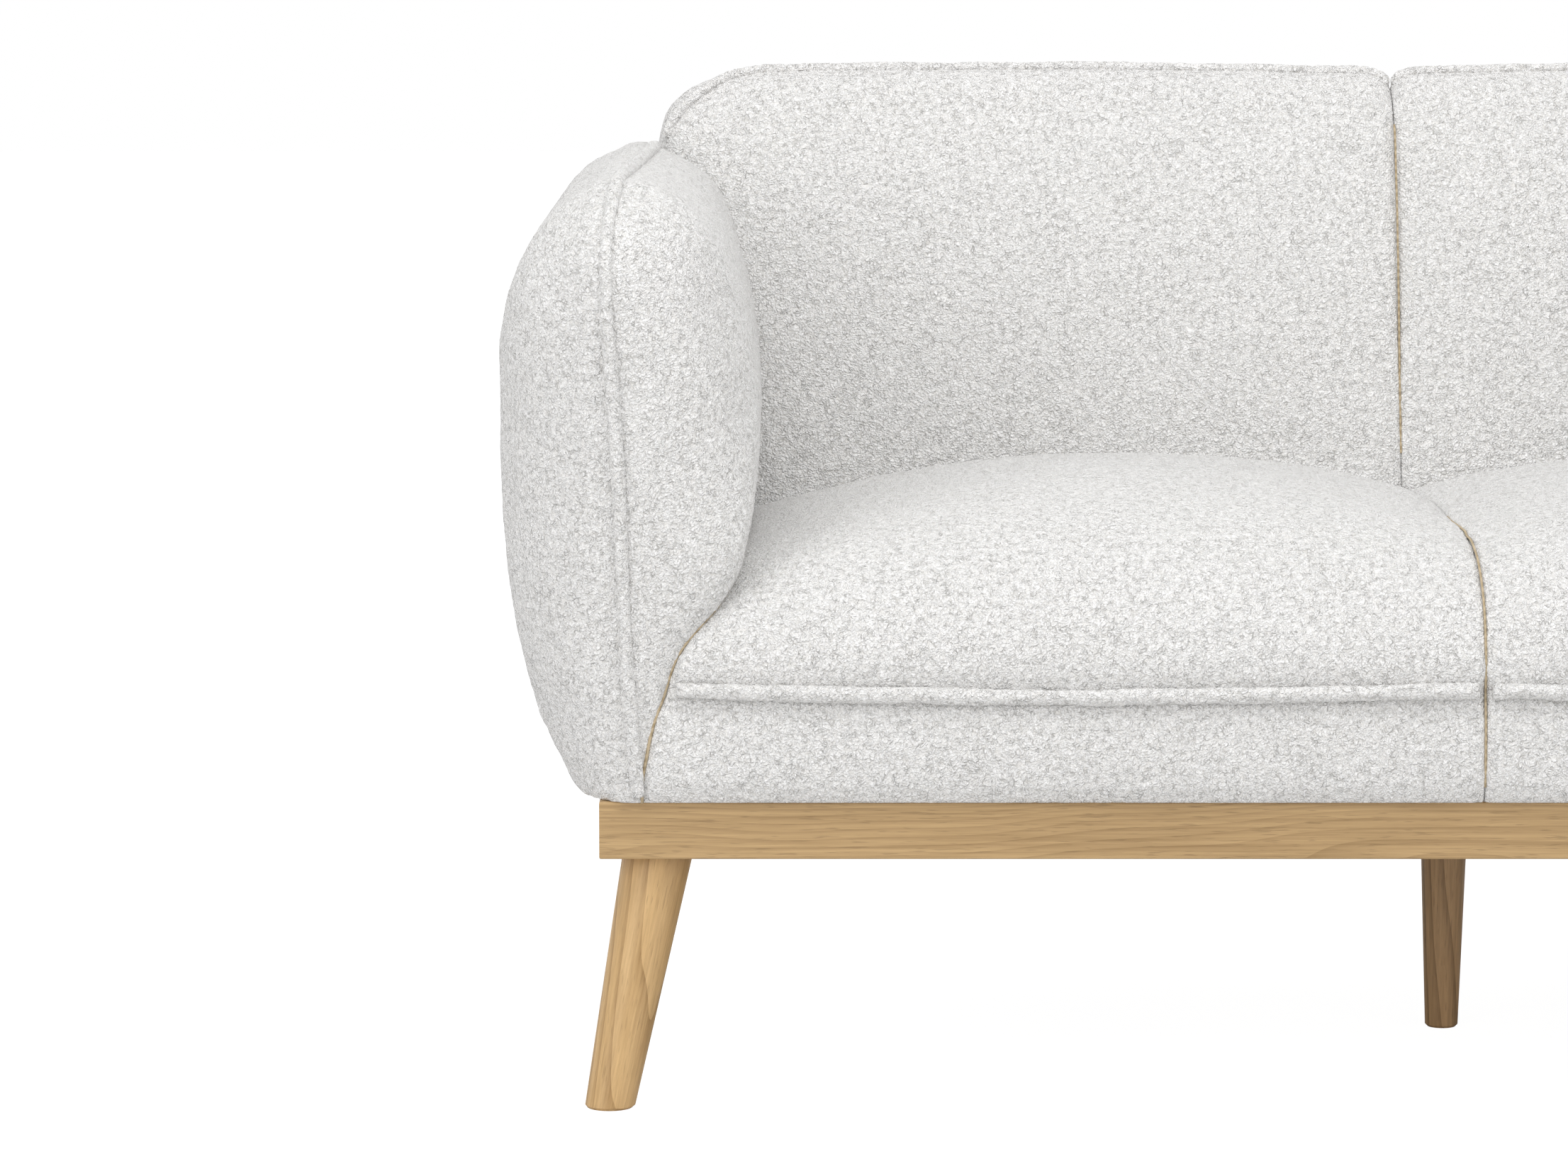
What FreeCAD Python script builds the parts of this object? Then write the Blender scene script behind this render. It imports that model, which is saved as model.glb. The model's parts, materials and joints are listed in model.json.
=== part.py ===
"""Two-seat sofa on a wooden plinth with five turned legs.

Millimetres, +Z up, the front of the sofa towards -Y, origin on the floor under the middle.
The plinth is a mitred frame of four rails. The seat box stands on it, the back frame is bolted
to the seat box, the arm frames stand on the side rails, and each soft part wraps the frame
that it is fixed to.
"""
import FreeCAD, Part
import os
import re
import Sketcher

Vector = FreeCAD.Vector

SIZES = (
    ("overall_width", 1452, "outside of one arm to outside of the other"),
    ("overall_depth", 790, "front of the seats to the back of the sofa"),
    ("overall_height", 750, "floor to the top of the backrest"),
    ("clearance", 0.3, "gap between a soft part and its neighbour"),
    ("rail_bottom", 188, "floor to the underside of the plinth, and the height of the legs"),
    ("rail_height", 43, "plinth rail"),
    ("rail_thickness", 28, "plinth rail"),
    ("rail_edge_round", 1.5, "long outer edges of the plinth rails"),
    ("arm_overhang", 13, "foot of an arm outside the end of the plinth"),
    ("plinth_inset", 12, "face of a plinth rail behind the face of the upholstery"),
    ("centre_rail_width", 60, "cross rail under the middle"),
    ("block_side", 100, "short side of a corner block"),
    ("block_recess", 5, "top of a corner block below the top of the rails"),
    ("leg_bolt_inset", 15, "leg bolt inside the inner faces of the two rails"),
    ("leg_top_diameter", 53, "corner leg at the plinth"),
    ("leg_foot_diameter", 37.5, "corner leg at the floor"),
    ("leg_splay", 36, "foot outside the leg top, along X and along Y"),
    ("foot_chamfer", 2, "bevel round each foot at the floor"),
    ("centre_leg_diameter", 39, "centre leg at the plinth"),
    ("centre_foot_diameter", 26, "centre leg at the floor"),
    ("centre_leg_offset", 12, "centre leg to the right of the middle"),
    ("centre_leg_setback", 330, "centre leg behind the front face"),
    ("bolt_diameter", 8, "leg, arm and back bolts"),
    ("bolt_in_leg", 40, "length of a leg bolt inside the leg"),
    ("bolt_head_diameter", 16, "arm and back bolts"),
    ("bolt_head_height", 5, "arm and back bolts"),
    ("bolt_head_margin", 1, "head of a back bolt inside the edge of its post"),
    ("bolt_end_gap", 3, "end of an arm or back bolt short of the far face"),
    ("thread_clearance", 0.1, "bolt or screw to its hole, on each side"),
    ("nut_flange_diameter", 22, "tee nut"),
    ("nut_flange_height", 2, "tee nut"),
    ("nut_barrel_diameter", 11, "tee nut"),
    ("nut_barrel_length", 10, "tee nut"),
    ("screw_diameter", 5, "screws up through the plinth"),
    ("screw_head_diameter", 10, "screws up through the plinth"),
    ("screw_head_height", 3, "screws up through the plinth"),
    ("screw_tip_gap", 4, "tip of a plinth screw below the cross bolts"),
    ("board_thickness", 25, "boards of the seat box and back frame"),
    ("board_height", 60, "boards of the seat box"),
    ("face_padding", 20, "padding in front of and behind the seat box"),
    ("side_padding", 20, "padding between the foot of an arm and the seat box"),
    ("wire_diameter", 3.5, "seat springs"),
    ("spring_width", 50, "seat springs"),
    ("spring_pitch", 34, "from one run of a spring to the next"),
    ("clip_width", 24, "spring clip"),
    ("clip_depth", 16, "spring clip"),
    ("clip_sheet", 1.5, "steel of a spring clip"),
    ("felt_thickness", 3, "felt over the springs"),
    ("cover_thickness", 1.2, "dust cover"),
    ("post_width", 60, "back posts and arm posts"),
    ("back_top_padding", 55, "padding over the back frame"),
    ("back_rail_height", 55, "top and lower rails of the back frame"),
    ("lower_rail_bottom", 330, "floor to the lower rails of the back frame"),
    ("webbing_width", 50, "elastic webbing of the back"),
    ("webbing_thickness", 2, "elastic webbing of the back"),
    ("back_panel_thickness", 16, "padded panel that closes the back"),
    ("back_foot_depth", 285, "backrest front to back at its foot"),
    ("back_lean", 0.323, "how far the backrest goes back for each unit that it rises"),
    ("back_shoulder", 92, "rounded upper corner of the backrest, along X"),
    ("back_shoulder_drop", 66, "rounded upper corner of the backrest, along Z"),
    ("arm_width", 194, "widest part of an arm"),
    ("arm_top", 687, "floor to the top of an arm"),
    ("arm_nose", 62, "rounded front end of an arm"),
    ("arm_rear_round", 90, "rounded outer rear corner of an arm"),
    ("arm_post_thickness", 22, "arm frame"),
    ("arm_post_inset", 2, "arm frame inside the face of the side rail"),
    ("arm_frame_setback", 55, "arm frame behind the front face"),
    ("arm_frame_gap", 20, "rear of an arm frame in front of the foot of the backrest"),
    ("arm_top_padding", 67, "padding over the arm frame"),
    ("arm_rail_height", 60, "top rail of the arm frame"),
    ("seat_crown", 448, "floor to the highest line of a seat"),
    ("seat_side_drop", 50, "seat crown to the seat beside an arm"),
    ("seat_middle_drop", 45, "seat crown to the seat at the middle of the sofa"),
    ("seat_front_top", 330, "floor to the line where the seat front starts to roll back"),
    ("seat_front_step", 6, "the same line behind the front face"),
    ("seat_roll_depth", 70, "a point half-way round the seat's roll, behind the front face"),
    ("seat_roll_drop", 32, "the same point below the seat's highest line"),
    ("seat_crest_depth", 300, "highest line of a seat behind the front face"),
    ("back_roll_drop", 25, "top of the backrest's flat face below its crest"),
    ("back_crest_shift", 10, "crest of the backrest ahead of the middle of its top"),
    ("back_rear_step", 14, "rear of the backrest's crest ahead of its rear face"),
    ("back_rear_drop", 40, "the same line below the crest"),
    ("back_rear_fall", 130, "line where the rear of the backrest becomes upright, below its crest"),
)

ALIASES = {alias for alias, _, _ in SIZES}

# The arm seen from the front, as shares of arm_width from its outer side and of its height
# above the plinth: where its foot starts, its crest, where its foot ends, and its outline.
ARM_FOOT_OUTER = 0.325
ARM_CREST = 0.546
ARM_FOOT_INNER = 0.567
ARM_OUTLINE = (
    (ARM_FOOT_OUTER, 0.0), (0.134, 0.173), (0.031, 0.414), (0.0, 0.622), (0.072, 0.853),
    (0.289, 0.971), (ARM_CREST, 1.0), (0.778, 0.945), (0.933, 0.787), (1.0, 0.546),
    (0.933, 0.388), (0.753, 0.265), (0.649, 0.14), (ARM_FOOT_INNER, 0.0),
)

# Points on rounded corners, as shares of the corner's size.
CORNER_MIDDLE = 0.29
SHOULDER_MIDDLE = (0.27, 0.3)
ARM_ROUND_START = 2.0
ARM_ROUND_MIDDLE = (0.3, 0.6)
ARM_ROUND_END = 1.6
ARM_REAR_MIDDLE = (0.2, 0.35)

# The seat's highest line: share of the way from arm to middle, then shares of seat_side_drop and
# of seat_middle_drop that it lies below the crown.
SEAT_CREST = ((0.0, 1.0, 0.0), (0.35, 0.25, 0.0), (0.6, 0.0, 0.0), (0.82, 0.0, 0.3), (1.0, 0.0, 1.0))
SEAT_START = 0.55
SEAT_FULLEST = 0.4
SEAT_REAR_FALL = 0.3

DERIVED = {
    "front_face": "-overall_depth / 2",
    "rear_face": "overall_depth / 2",
    "half_width": "overall_width / 2",
    "half_plinth": f"half_width - {ARM_FOOT_OUTER} * arm_width - arm_overhang",
    "plinth_front": "front_face + plinth_inset",
    "plinth_depth": "overall_depth - 2 * plinth_inset",
    "plinth_inner": "plinth_depth / 2 - rail_thickness",
    "rail_top": "rail_bottom + rail_height",
    "block_height": "rail_height - block_recess",
    "block_top": "rail_bottom + block_height",
    "leg_inset": "rail_thickness + leg_bolt_inset",
    "leg_across": "half_plinth - leg_inset",
    "leg_along": "plinth_depth / 2 - leg_inset",
    "centre_leg_along": "front_face + centre_leg_setback",
    "bolt_hole": "bolt_diameter + 2 * thread_clearance",
    "nut_hole": "nut_barrel_diameter + 2 * thread_clearance",
    "screw_hole": "screw_diameter + 2 * thread_clearance",
    "box_front": "front_face + face_padding",
    "box_rear": "rear_face - face_padding",
    "box_half": f"half_width - {ARM_FOOT_INNER} * arm_width - side_padding",
    "box_top": "rail_top + board_height",
    "wire_level": "box_top + clip_sheet + wire_diameter / 2",
    "clip_top": "box_top + 2 * clip_sheet + wire_diameter",
    "felt_bottom": "clip_top + clearance",
    "deck_top": "felt_bottom + felt_thickness + clearance",
    "frame_plane": "box_rear - board_thickness",
    "post_front": "frame_plane - board_thickness",
    "webbing_front": "post_front - 2 * webbing_thickness",
    "post_half": "box_half - board_thickness",
    "back_frame_top": "overall_height - back_top_padding",
    "post_top": "back_frame_top - back_rail_height",
    "back_foot": "rear_face - back_foot_depth",
    "back_half_width": f"half_width - {ARM_CREST} * arm_width",
    "arm_outer": "half_plinth - arm_post_inset",
    "arm_inner": "arm_outer - arm_post_thickness",
    "arm_front": "front_face + arm_frame_setback",
    "arm_rear": "back_foot - arm_frame_gap",
    "arm_frame_top": "arm_top - arm_top_padding",
    "arm_post_top": "arm_frame_top - arm_rail_height",
    "bolt_level": "rail_top + board_height / 2",
    "screw_grip": "board_height / 2 - bolt_diameter / 2 - screw_tip_gap",
    "arm_rear_post_along": "arm_rear - post_width / 2",
    "arm_front_post_along": "arm_front + post_width / 2",
}

SIDES = {"left": -1, "right": 1}
ENDS = {"front": -1, "rear": 1}
SPRINGS_PER_SEAT = 4
SCREW_SHARES = (0.3, 0.75)
WEBBING_PER_SEAT = 3
WEBBING_LEVELS = 3

doc = FreeCAD.newDocument("sofa")
sheet = doc.addObject("Spreadsheet::Sheet", "sizes")
probe = doc.addObject("App::FeaturePython", "probe")
probe.addProperty("App::PropertyFloat", "number")
nodes = []


def fill_sheet():
    """Write each driving size into the sheet with its alias and its meaning."""
    for row, (alias, number, meaning) in enumerate(SIZES, start=1):
        sheet.set(f"A{row}", meaning)
        sheet.set(f"B{row}", str(number))
        sheet.setAlias(f"B{row}", alias)
    doc.recompute()


def expression(text):
    """Spell out derived names and point the driving names at the sheet."""
    def spell(match):
        word = match.group(0)
        if word in DERIVED:
            return f"({expression(DERIVED[word])})"
        if word in ALIASES:
            return f"sizes.{word}"
        return word
    return re.sub(r"[a-z][a-z_]+", spell, str(text))


def value(text):
    """The number that an expression comes to, read from the property that it is bound to."""
    probe.setExpression("number", expression(text))
    probe.recompute()
    return probe.number


def bind(item, **sizes):
    """Bind properties, with a double underscore for a dot, to expressions."""
    for name, text in sizes.items():
        item.setExpression(name.replace("__", "."), expression(text))


def place(item, across, along, level, turn=0):
    """Put an object at three bound coordinates, turned by a number of degrees about Z."""
    item.Placement = FreeCAD.Placement(Vector(), FreeCAD.Rotation(Vector(0, 0, 1), turn))
    bind(item, Placement__Base__x=across, Placement__Base__y=along, Placement__Base__z=level)


def keep(item, name):
    """Register an object as the sub-part of that name."""
    item.Label = name
    nodes.append(item)
    return item


def box(name, start, end):
    """A board between two corners, each given as three expressions."""
    item = doc.addObject("Part::Box", name)
    bind(item, Length=f"({end[0]}) - ({start[0]})", Width=f"({end[1]}) - ({start[1]})",
         Height=f"({end[2]}) - ({start[2]})")
    place(item, *start)
    return item


def rod(name, diameter, length, start, axis=Vector(0, 0, 1)):
    """A cylinder from its start along an axis."""
    item = doc.addObject("Part::Cylinder", name)
    bind(item, Radius=f"({diameter}) / 2", Height=length)
    place(item, *start)
    item.Placement.Rotation = FreeCAD.Rotation(Vector(0, 0, 1), axis)
    return item


def joined(name, pieces):
    """Several primitives fused into one piece."""
    item = doc.addObject("Part::MultiFuse", name)
    item.Shapes = pieces
    return item


def group(name, pieces):
    """Identical loose pieces kept together as separate solids."""
    item = doc.addObject("Part::Compound", name)
    item.Links = pieces
    return keep(item, name)


def drilled(name, blank, holes):
    """A piece with the named holes taken out of it."""
    if not holes:
        return keep(blank, name)
    blank.Label = f"{name}_blank"
    tools = doc.addObject("Part::Compound", f"{name}_holes")
    tools.Links = holes
    item = doc.addObject("Part::Cut", name)
    item.Base = blank
    item.Tool = tools
    return keep(item, name)


def mirrored(sign, text):
    """An expression on the left (-1) or the right (1)."""
    return f"{sign} * ({text})"


def span(sign, inner, outer):
    """The lower and upper ends of a stretch from inner to outer on one side."""
    ends = (mirrored(sign, inner), mirrored(sign, outer))
    return ends if sign > 0 else ends[::-1]


# ---------------------------------------------------------------- sketches

def new_sketch(body, name, level="0"):
    """An empty sketch on the body's own XY plane, raised to a level."""
    sketch = body.newObject("Sketcher::SketchObject", name)
    plane = next(item for item in body.Origin.OriginFeatures if item.Role == "XY_Plane")
    sketch.AttachmentSupport = [(plane, "")]
    sketch.MapMode = "FlatFace"
    bind(sketch, AttachmentOffset__Base__z=level)
    return sketch


def draw_outline(sketch, corners):
    """Close a polygon whose corners are bound to pairs of positive or negative expressions."""
    points = [Vector(value(x), value(y), 0) for x, y in corners]
    for index, point in enumerate(points):
        sketch.addGeometry(Part.LineSegment(point, points[(index + 1) % len(points)]))
    for index in range(len(points)):
        following = (index + 1) % len(points)
        sketch.addConstraint(Sketcher.Constraint("Coincident", index, 2, following, 1))
    for index, (x, y) in enumerate(corners):
        for kind, text, number in (("DistanceX", x, points[index].x), ("DistanceY", y, points[index].y)):
            place_at = sketch.addConstraint(Sketcher.Constraint(kind, -1, 1, index, 1, number))
            label = f"{kind[-1].lower()}{index}"
            sketch.renameConstraint(place_at, label)
            sketch.setExpression(f"Constraints.{label}", expression(text))


def draw_circle(sketch, diameter, across="0", along="0"):
    """A circle whose size and centre are bound."""
    centre = Vector(value(across), value(along), 0)
    sketch.addGeometry(Part.Circle(centre, Vector(0, 0, 1), value(diameter) / 2))
    bound = (("Radius", f"({diameter}) / 2", Sketcher.Constraint("Radius", 0, value(diameter) / 2)),
             ("across", across, Sketcher.Constraint("DistanceX", -1, 1, 0, 3, centre.x)),
             ("along", along, Sketcher.Constraint("DistanceY", -1, 1, 0, 3, centre.y)))
    for label, text, constraint in bound:
        sketch.renameConstraint(sketch.addConstraint(constraint), label.lower())
        sketch.setExpression(f"Constraints.{label.lower()}", expression(text))


def pad(body, sketch, height):
    """Raise a sketch into a solid."""
    feature = body.newObject("PartDesign::Pad", "Pad")
    feature.Profile = sketch
    bind(feature, Length=height)
    doc.recompute()
    return feature


def sink(body, name, diameter, depth, level, across="0", along="0"):
    """Pocket a round hole downward from a level, and insist that it removed material."""
    before = body.Shape.Volume
    sketch = new_sketch(body, f"{name}Outline", level)
    draw_circle(sketch, diameter, across, along)
    feature = body.newObject("PartDesign::Pocket", name)
    feature.Profile = sketch
    bind(feature, Length=depth)
    doc.recompute()
    if body.Shape.Volume >= before:
        raise RuntimeError(f"{body.Label}: {name} removed nothing")


def round_edges(body, feature, radius, wanted):
    """Fillet the edges of a feature that a test picks."""
    names = [f"Edge{index}" for index, edge in enumerate(feature.Shape.Edges, start=1) if wanted(edge)]
    fillet = body.newObject("PartDesign::Fillet", "Round")
    fillet.Base = (feature, names)
    bind(fillet, Radius=radius)
    doc.recompute()


# ---------------------------------------------------------------- plinth

def screw_places():
    """Where screws go up through the plinth: into the seat box and into the arm posts."""
    places = {"front": [], "rear": [], "left": [], "right": []}
    for end, sign in ENDS.items():
        along = mirrored(sign, "box_rear - face_padding / 2")
        for side in SIDES.values():
            places[end] += [(f"{side * share} * box_half", along) for share in SCREW_SHARES]
    for side, sign in SIDES.items():
        across = mirrored(sign, "(arm_outer + arm_inner) / 2")
        places[side] = [(across, "arm_front_post_along"), (across, "arm_rear_post_along")]
    return places


def screw_holes(name, spots):
    """Holes for plinth screws, from under the rail to the tip of the screw."""
    holes = []
    for index, (across, along) in enumerate(spots):
        shank = rod(f"{name}_shank_{index}", "screw_hole", "rail_height + screw_grip + thread_clearance",
                    (across, along, "rail_bottom"))
        head = rod(f"{name}_head_{index}", "screw_head_diameter + 2 * thread_clearance",
                   "screw_head_height", (across, along, "rail_bottom"))
        holes.append(joined(f"{name}_hole_{index}", [shank, head]))
    return holes


def make_rail(name, length, across, along, turn, spots):
    """One mitred rail, its outer face on the local X axis."""
    body = doc.addObject("PartDesign::Body", f"{name}_body")
    sketch = new_sketch(body, "Outline")
    draw_outline(sketch, (
        (f"-({length}) / 2", "0"),
        (f"({length}) / 2", "0"),
        (f"({length}) / 2 - rail_thickness", "rail_thickness"),
        (f"-({length}) / 2 + rail_thickness", "rail_thickness"),
    ))
    raised = pad(body, sketch, "rail_height")
    round_edges(body, raised, "rail_edge_round",
                lambda edge: edge.BoundBox.YMax < 0.001 and edge.BoundBox.ZLength < 0.001)
    place(body, across, along, "rail_bottom", turn)
    drilled(name, body, screw_holes(name, spots))


def make_plinth():
    """Four mitred rails and the cross rail that carries the centre leg."""
    spots = screw_places()
    make_rail("front_rail", "2 * half_plinth", "0", "plinth_front", 0, spots["front"])
    make_rail("right_rail", "plinth_depth", "half_plinth", "0", 90, spots["right"])
    make_rail("rear_rail", "2 * half_plinth", "0", "-plinth_front", 180, spots["rear"])
    make_rail("left_rail", "plinth_depth", "-half_plinth", "0", 270, spots["left"])
    blank = box("centre_rail_blank", ("-centre_rail_width / 2", "-plinth_inner", "rail_bottom"),
                ("centre_rail_width / 2", "plinth_inner", "rail_top - cover_thickness"))
    middle = ("centre_leg_offset", "centre_leg_along")
    drilled("centre_rail", blank, [
        joined("centre_bolt_hole", [
            rod("centre_shank", "bolt_hole", "rail_height", (*middle, "rail_bottom")),
            rod("centre_barrel", "nut_hole", "nut_barrel_length + rail_top",
                (*middle, "block_top - nut_barrel_length")),
            rod("centre_flange", "nut_flange_diameter + 2 * thread_clearance", "rail_top",
                (*middle, "block_top")),
        ]),
    ])


def make_corner_block(name, across, along, turn):
    """A triangular block in a corner of the plinth, bored for a leg bolt and its tee nut."""
    body = doc.addObject("PartDesign::Body", f"{name}_body")
    sketch = new_sketch(body, "Outline")
    draw_outline(sketch, (("0", "0"), ("block_side", "0"), ("0", "block_side")))
    pad(body, sketch, "block_height")
    centre = "leg_inset - rail_thickness"
    sink(body, "BoltHole", "bolt_hole", "block_height + 1", "block_height", centre, centre)
    sink(body, "NutHole", "nut_hole", "nut_barrel_length", "block_height", centre, centre)
    place(body, across, along, "rail_bottom", turn)
    keep(body, name)


def make_corner_blocks():
    """The four corner blocks, each turned into its corner."""
    inner = "half_plinth - rail_thickness"
    make_corner_block("corner_block_front_left", f"-({inner})", "-plinth_inner", 0)
    make_corner_block("corner_block_front_right", inner, "-plinth_inner", 90)
    make_corner_block("corner_block_rear_right", inner, "plinth_inner", 180)
    make_corner_block("corner_block_rear_left", f"-({inner})", "plinth_inner", 270)


# ---------------------------------------------------------------- legs and what holds them

def make_leg(name, top, foot, lean, across, along, turn):
    """A tapered round leg that leans along its local X axis, bored for its bolt."""
    body = doc.addObject("PartDesign::Body", f"{name}_body")
    sole = new_sketch(body, "Sole")
    draw_circle(sole, f"{foot} - 2 * foot_chamfer", across=lean)
    floor_end = new_sketch(body, "Foot", "foot_chamfer")
    draw_circle(floor_end, foot, across=f"({lean}) * (1 - foot_chamfer / rail_bottom)")
    plinth_end = new_sketch(body, "Head", "rail_bottom")
    draw_circle(plinth_end, top)
    taper = body.newObject("PartDesign::AdditiveLoft", "Taper")
    taper.Profile = sole
    taper.Sections = [floor_end, plinth_end]
    taper.Ruled = True
    doc.recompute()
    sink(body, "BoltHole", "bolt_hole", "bolt_in_leg + thread_clearance", "rail_bottom")
    place(body, across, along, "0", turn)
    keep(body, name)


def make_legs():
    """Four splayed corner legs and the upright centre leg."""
    corner = ("leg_top_diameter", "leg_foot_diameter", "leg_splay * sqrt(2)")
    make_leg("leg_front_left", *corner, "-leg_across", "-leg_along", 225)
    make_leg("leg_front_right", *corner, "leg_across", "-leg_along", 315)
    make_leg("leg_rear_right", *corner, "leg_across", "leg_along", 45)
    make_leg("leg_rear_left", *corner, "-leg_across", "leg_along", 135)
    make_leg("leg_centre", "centre_leg_diameter", "centre_foot_diameter", "0",
             "centre_leg_offset", "centre_leg_along", 0)


def leg_places():
    """The axis of each leg bolt."""
    corners = [(mirrored(side, "leg_across"), mirrored(end, "leg_along"))
               for side in SIDES.values() for end in ENDS.values()]
    return corners + [("centre_leg_offset", "centre_leg_along")]


def make_leg_fasteners():
    """A headless bolt up out of each leg and the tee nut that takes it."""
    bolts = []
    nuts = []
    for index, (across, along) in enumerate(leg_places()):
        bolts.append(rod(f"leg_bolt_{index}", "bolt_diameter",
                         "bolt_in_leg + block_height + nut_flange_height / 2",
                         (across, along, "rail_bottom - bolt_in_leg")))
        flange = rod(f"nut_flange_{index}", "nut_flange_diameter", "nut_flange_height",
                     (across, along, "block_top"))
        barrel = rod(f"nut_barrel_{index}", "nut_barrel_diameter", "nut_barrel_length",
                     (across, along, "block_top - nut_barrel_length"))
        bore = rod(f"nut_bore_{index}", "bolt_hole", "rail_top", (across, along, "rail_bottom"))
        nut = doc.addObject("Part::Cut", f"tee_nut_{index}")
        nut.Base = joined(f"nut_body_{index}", [flange, barrel])
        nut.Tool = bore
        nuts.append(nut)
    group("leg_bolts", bolts)
    group("tee_nuts", nuts)


def make_plinth_screws():
    """Screws from under the plinth into the seat box and the arm posts."""
    screws = []
    for spots in screw_places().values():
        for across, along in spots:
            index = len(screws)
            shank = rod(f"screw_shank_{index}", "screw_diameter", "rail_height + screw_grip",
                        (across, along, "rail_bottom"))
            head = rod(f"screw_head_{index}", "screw_head_diameter", "screw_head_height",
                       (across, along, "rail_bottom"))
            screws.append(joined(f"plinth_screw_{index}", [shank, head]))
    group("plinth_screws", screws)


# ---------------------------------------------------------------- seat box

def arm_bolt_holes(name, side, ends):
    """Cross holes on one side for the bolts between an arm post and the seat box."""
    holes = []
    for end in ends:
        start = (mirrored(side, "box_half - board_thickness - bolt_head_height"),
                 f"arm_{end}_post_along", "bolt_level")
        holes.append(rod(f"{name}_bolt_hole_{end}", "bolt_hole", "half_width - box_half + board_thickness",
                         start, Vector(side, 0, 0)))
    return holes


def back_bolt_places():
    """Across and level of each bolt between a back post and the seat box."""
    middles = ["-(post_half - post_width / 2)", "0", "post_half - post_width / 2"]
    aside = "(post_width / 2 - bolt_head_diameter / 2 - bolt_head_margin)"
    corners = ((-1, 0.25), (1, 0.75))
    return [(f"{middle} + {side} * {aside}", f"rail_top + {share} * board_height")
            for middle in middles for side, share in corners]


def back_bolt_holes(name):
    """Holes along Y for the back bolts."""
    depth = "2 * board_thickness - bolt_end_gap + thread_clearance"
    return [rod(f"{name}_back_hole_{index}", "bolt_hole", depth, (across, "post_front", level),
                Vector(0, 1, 0))
            for index, (across, level) in enumerate(back_bolt_places())]


def make_seat_box():
    """Five boards on edge on the plinth."""
    spots = screw_places()
    front = box("seat_front_blank", ("-box_half", "box_front", "rail_top"),
                ("box_half", "box_front + board_thickness", "box_top"))
    drilled("seat_front_board", front, screw_holes("seat_front", spots["front"]))
    rear = box("seat_rear_blank", ("-box_half", "frame_plane", "rail_top"),
               ("box_half", "box_rear", "box_top"))
    drilled("seat_rear_board", rear, screw_holes("seat_rear", spots["rear"]) + back_bolt_holes("seat_rear"))
    for side, sign in SIDES.items():
        low, high = span(sign, "box_half - board_thickness", "box_half")
        name = f"seat_{side}_board"
        blank = box(f"{name}_blank", (low, "box_front + board_thickness", "rail_top"),
                    (high, "frame_plane", "box_top"))
        drilled(name, blank, arm_bolt_holes(name, sign, ENDS))
    keep(box("seat_centre_board", ("-board_thickness / 2", "box_front + board_thickness", "rail_top"),
             ("board_thickness / 2", "post_front", "box_top")), "seat_centre_board")


def spring_places(sign):
    """The middle of each spring of one seat."""
    count = SPRINGS_PER_SEAT
    width = "(post_half - 1.5 * post_width)"
    return [mirrored(sign, f"post_width / 2 + {(index + 0.5) / count} * {width}")
            for index in range(count)]


def zigzag_wire(middle):
    """The centre line of one spring: level runs across, joined by half circles."""
    first = value("box_front + board_thickness / 2")
    last = value("frame_plane + board_thickness / 2")
    half = value("spring_width") / 2
    runs = 2 * round((last - first) / value("spring_pitch") / 2)
    pitch = (last - first) / runs
    level = value("wire_level")
    straight = half - pitch / 2
    edges = []
    for index in range(runs + 1):
        sign = 1 if index % 2 == 0 else -1
        along = first + index * pitch
        start = Vector(middle - sign * straight, along, level)
        end = Vector(middle + sign * straight, along, level)
        edges.append(Part.LineSegment(start, end).toShape())
        if index < runs:
            crest = Vector(middle + sign * (straight + pitch / 2), along + pitch / 2, level)
            turn_end = Vector(end.x, along + pitch, level)
            edges.append(Part.Arc(end, crest, turn_end).toShape())
    return Part.Wire(edges)


def make_springs():
    """Zigzag springs from the front board to the rear board, and the clips that hold them."""
    clips = []
    for side, sign in SIDES.items():
        springs = []
        for text in spring_places(sign):
            wire = zigzag_wire(value(text))
            start = wire.Edges[0].Vertexes[0].Point
            section = Part.Wire(Part.Circle(start, Vector(1, 0, 0), value("wire_diameter") / 2).toShape())
            springs.append(wire.makePipeShell([section], True, False))
            clips += make_clips(text, len(clips))
        feature = doc.addObject("Part::Feature", f"seat_springs_{side}")
        feature.Shape = Part.makeCompound(springs)
        keep(feature, f"seat_springs_{side}")
    group("spring_clips", clips)


def make_clips(middle, first_index):
    """A folded clip at each end of a spring, open towards the middle of the seat."""
    clips = []
    for offset, (end, sign) in enumerate(ENDS.items()):
        name = f"clip_{first_index + offset}"
        seat = {"front": "box_front + board_thickness / 2", "rear": "frame_plane + board_thickness / 2"}[end]
        outer = f"({seat}) + {sign} * (wire_diameter / 2 + clip_sheet)"
        low, high = sorted((outer, f"({seat}) - {sign} * clip_depth / 2"), key=value)
        blank = box(f"{name}_blank", (f"({middle}) - clip_width / 2", low, "box_top"),
                    (f"({middle}) + clip_width / 2", high, "clip_top"))
        inner = f"({seat}) + {sign} * wire_diameter / 2"
        low, high = sorted((inner, f"({seat}) - {sign} * clip_depth"), key=value)
        slot = box(f"{name}_slot", (f"({middle}) - clip_width", low, "box_top + clip_sheet"),
                   (f"({middle}) + clip_width", high, "clip_top - clip_sheet"))
        clip = doc.addObject("Part::Cut", name)
        clip.Base = blank
        clip.Tool = slot
        clips.append(clip)
    return clips


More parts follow.
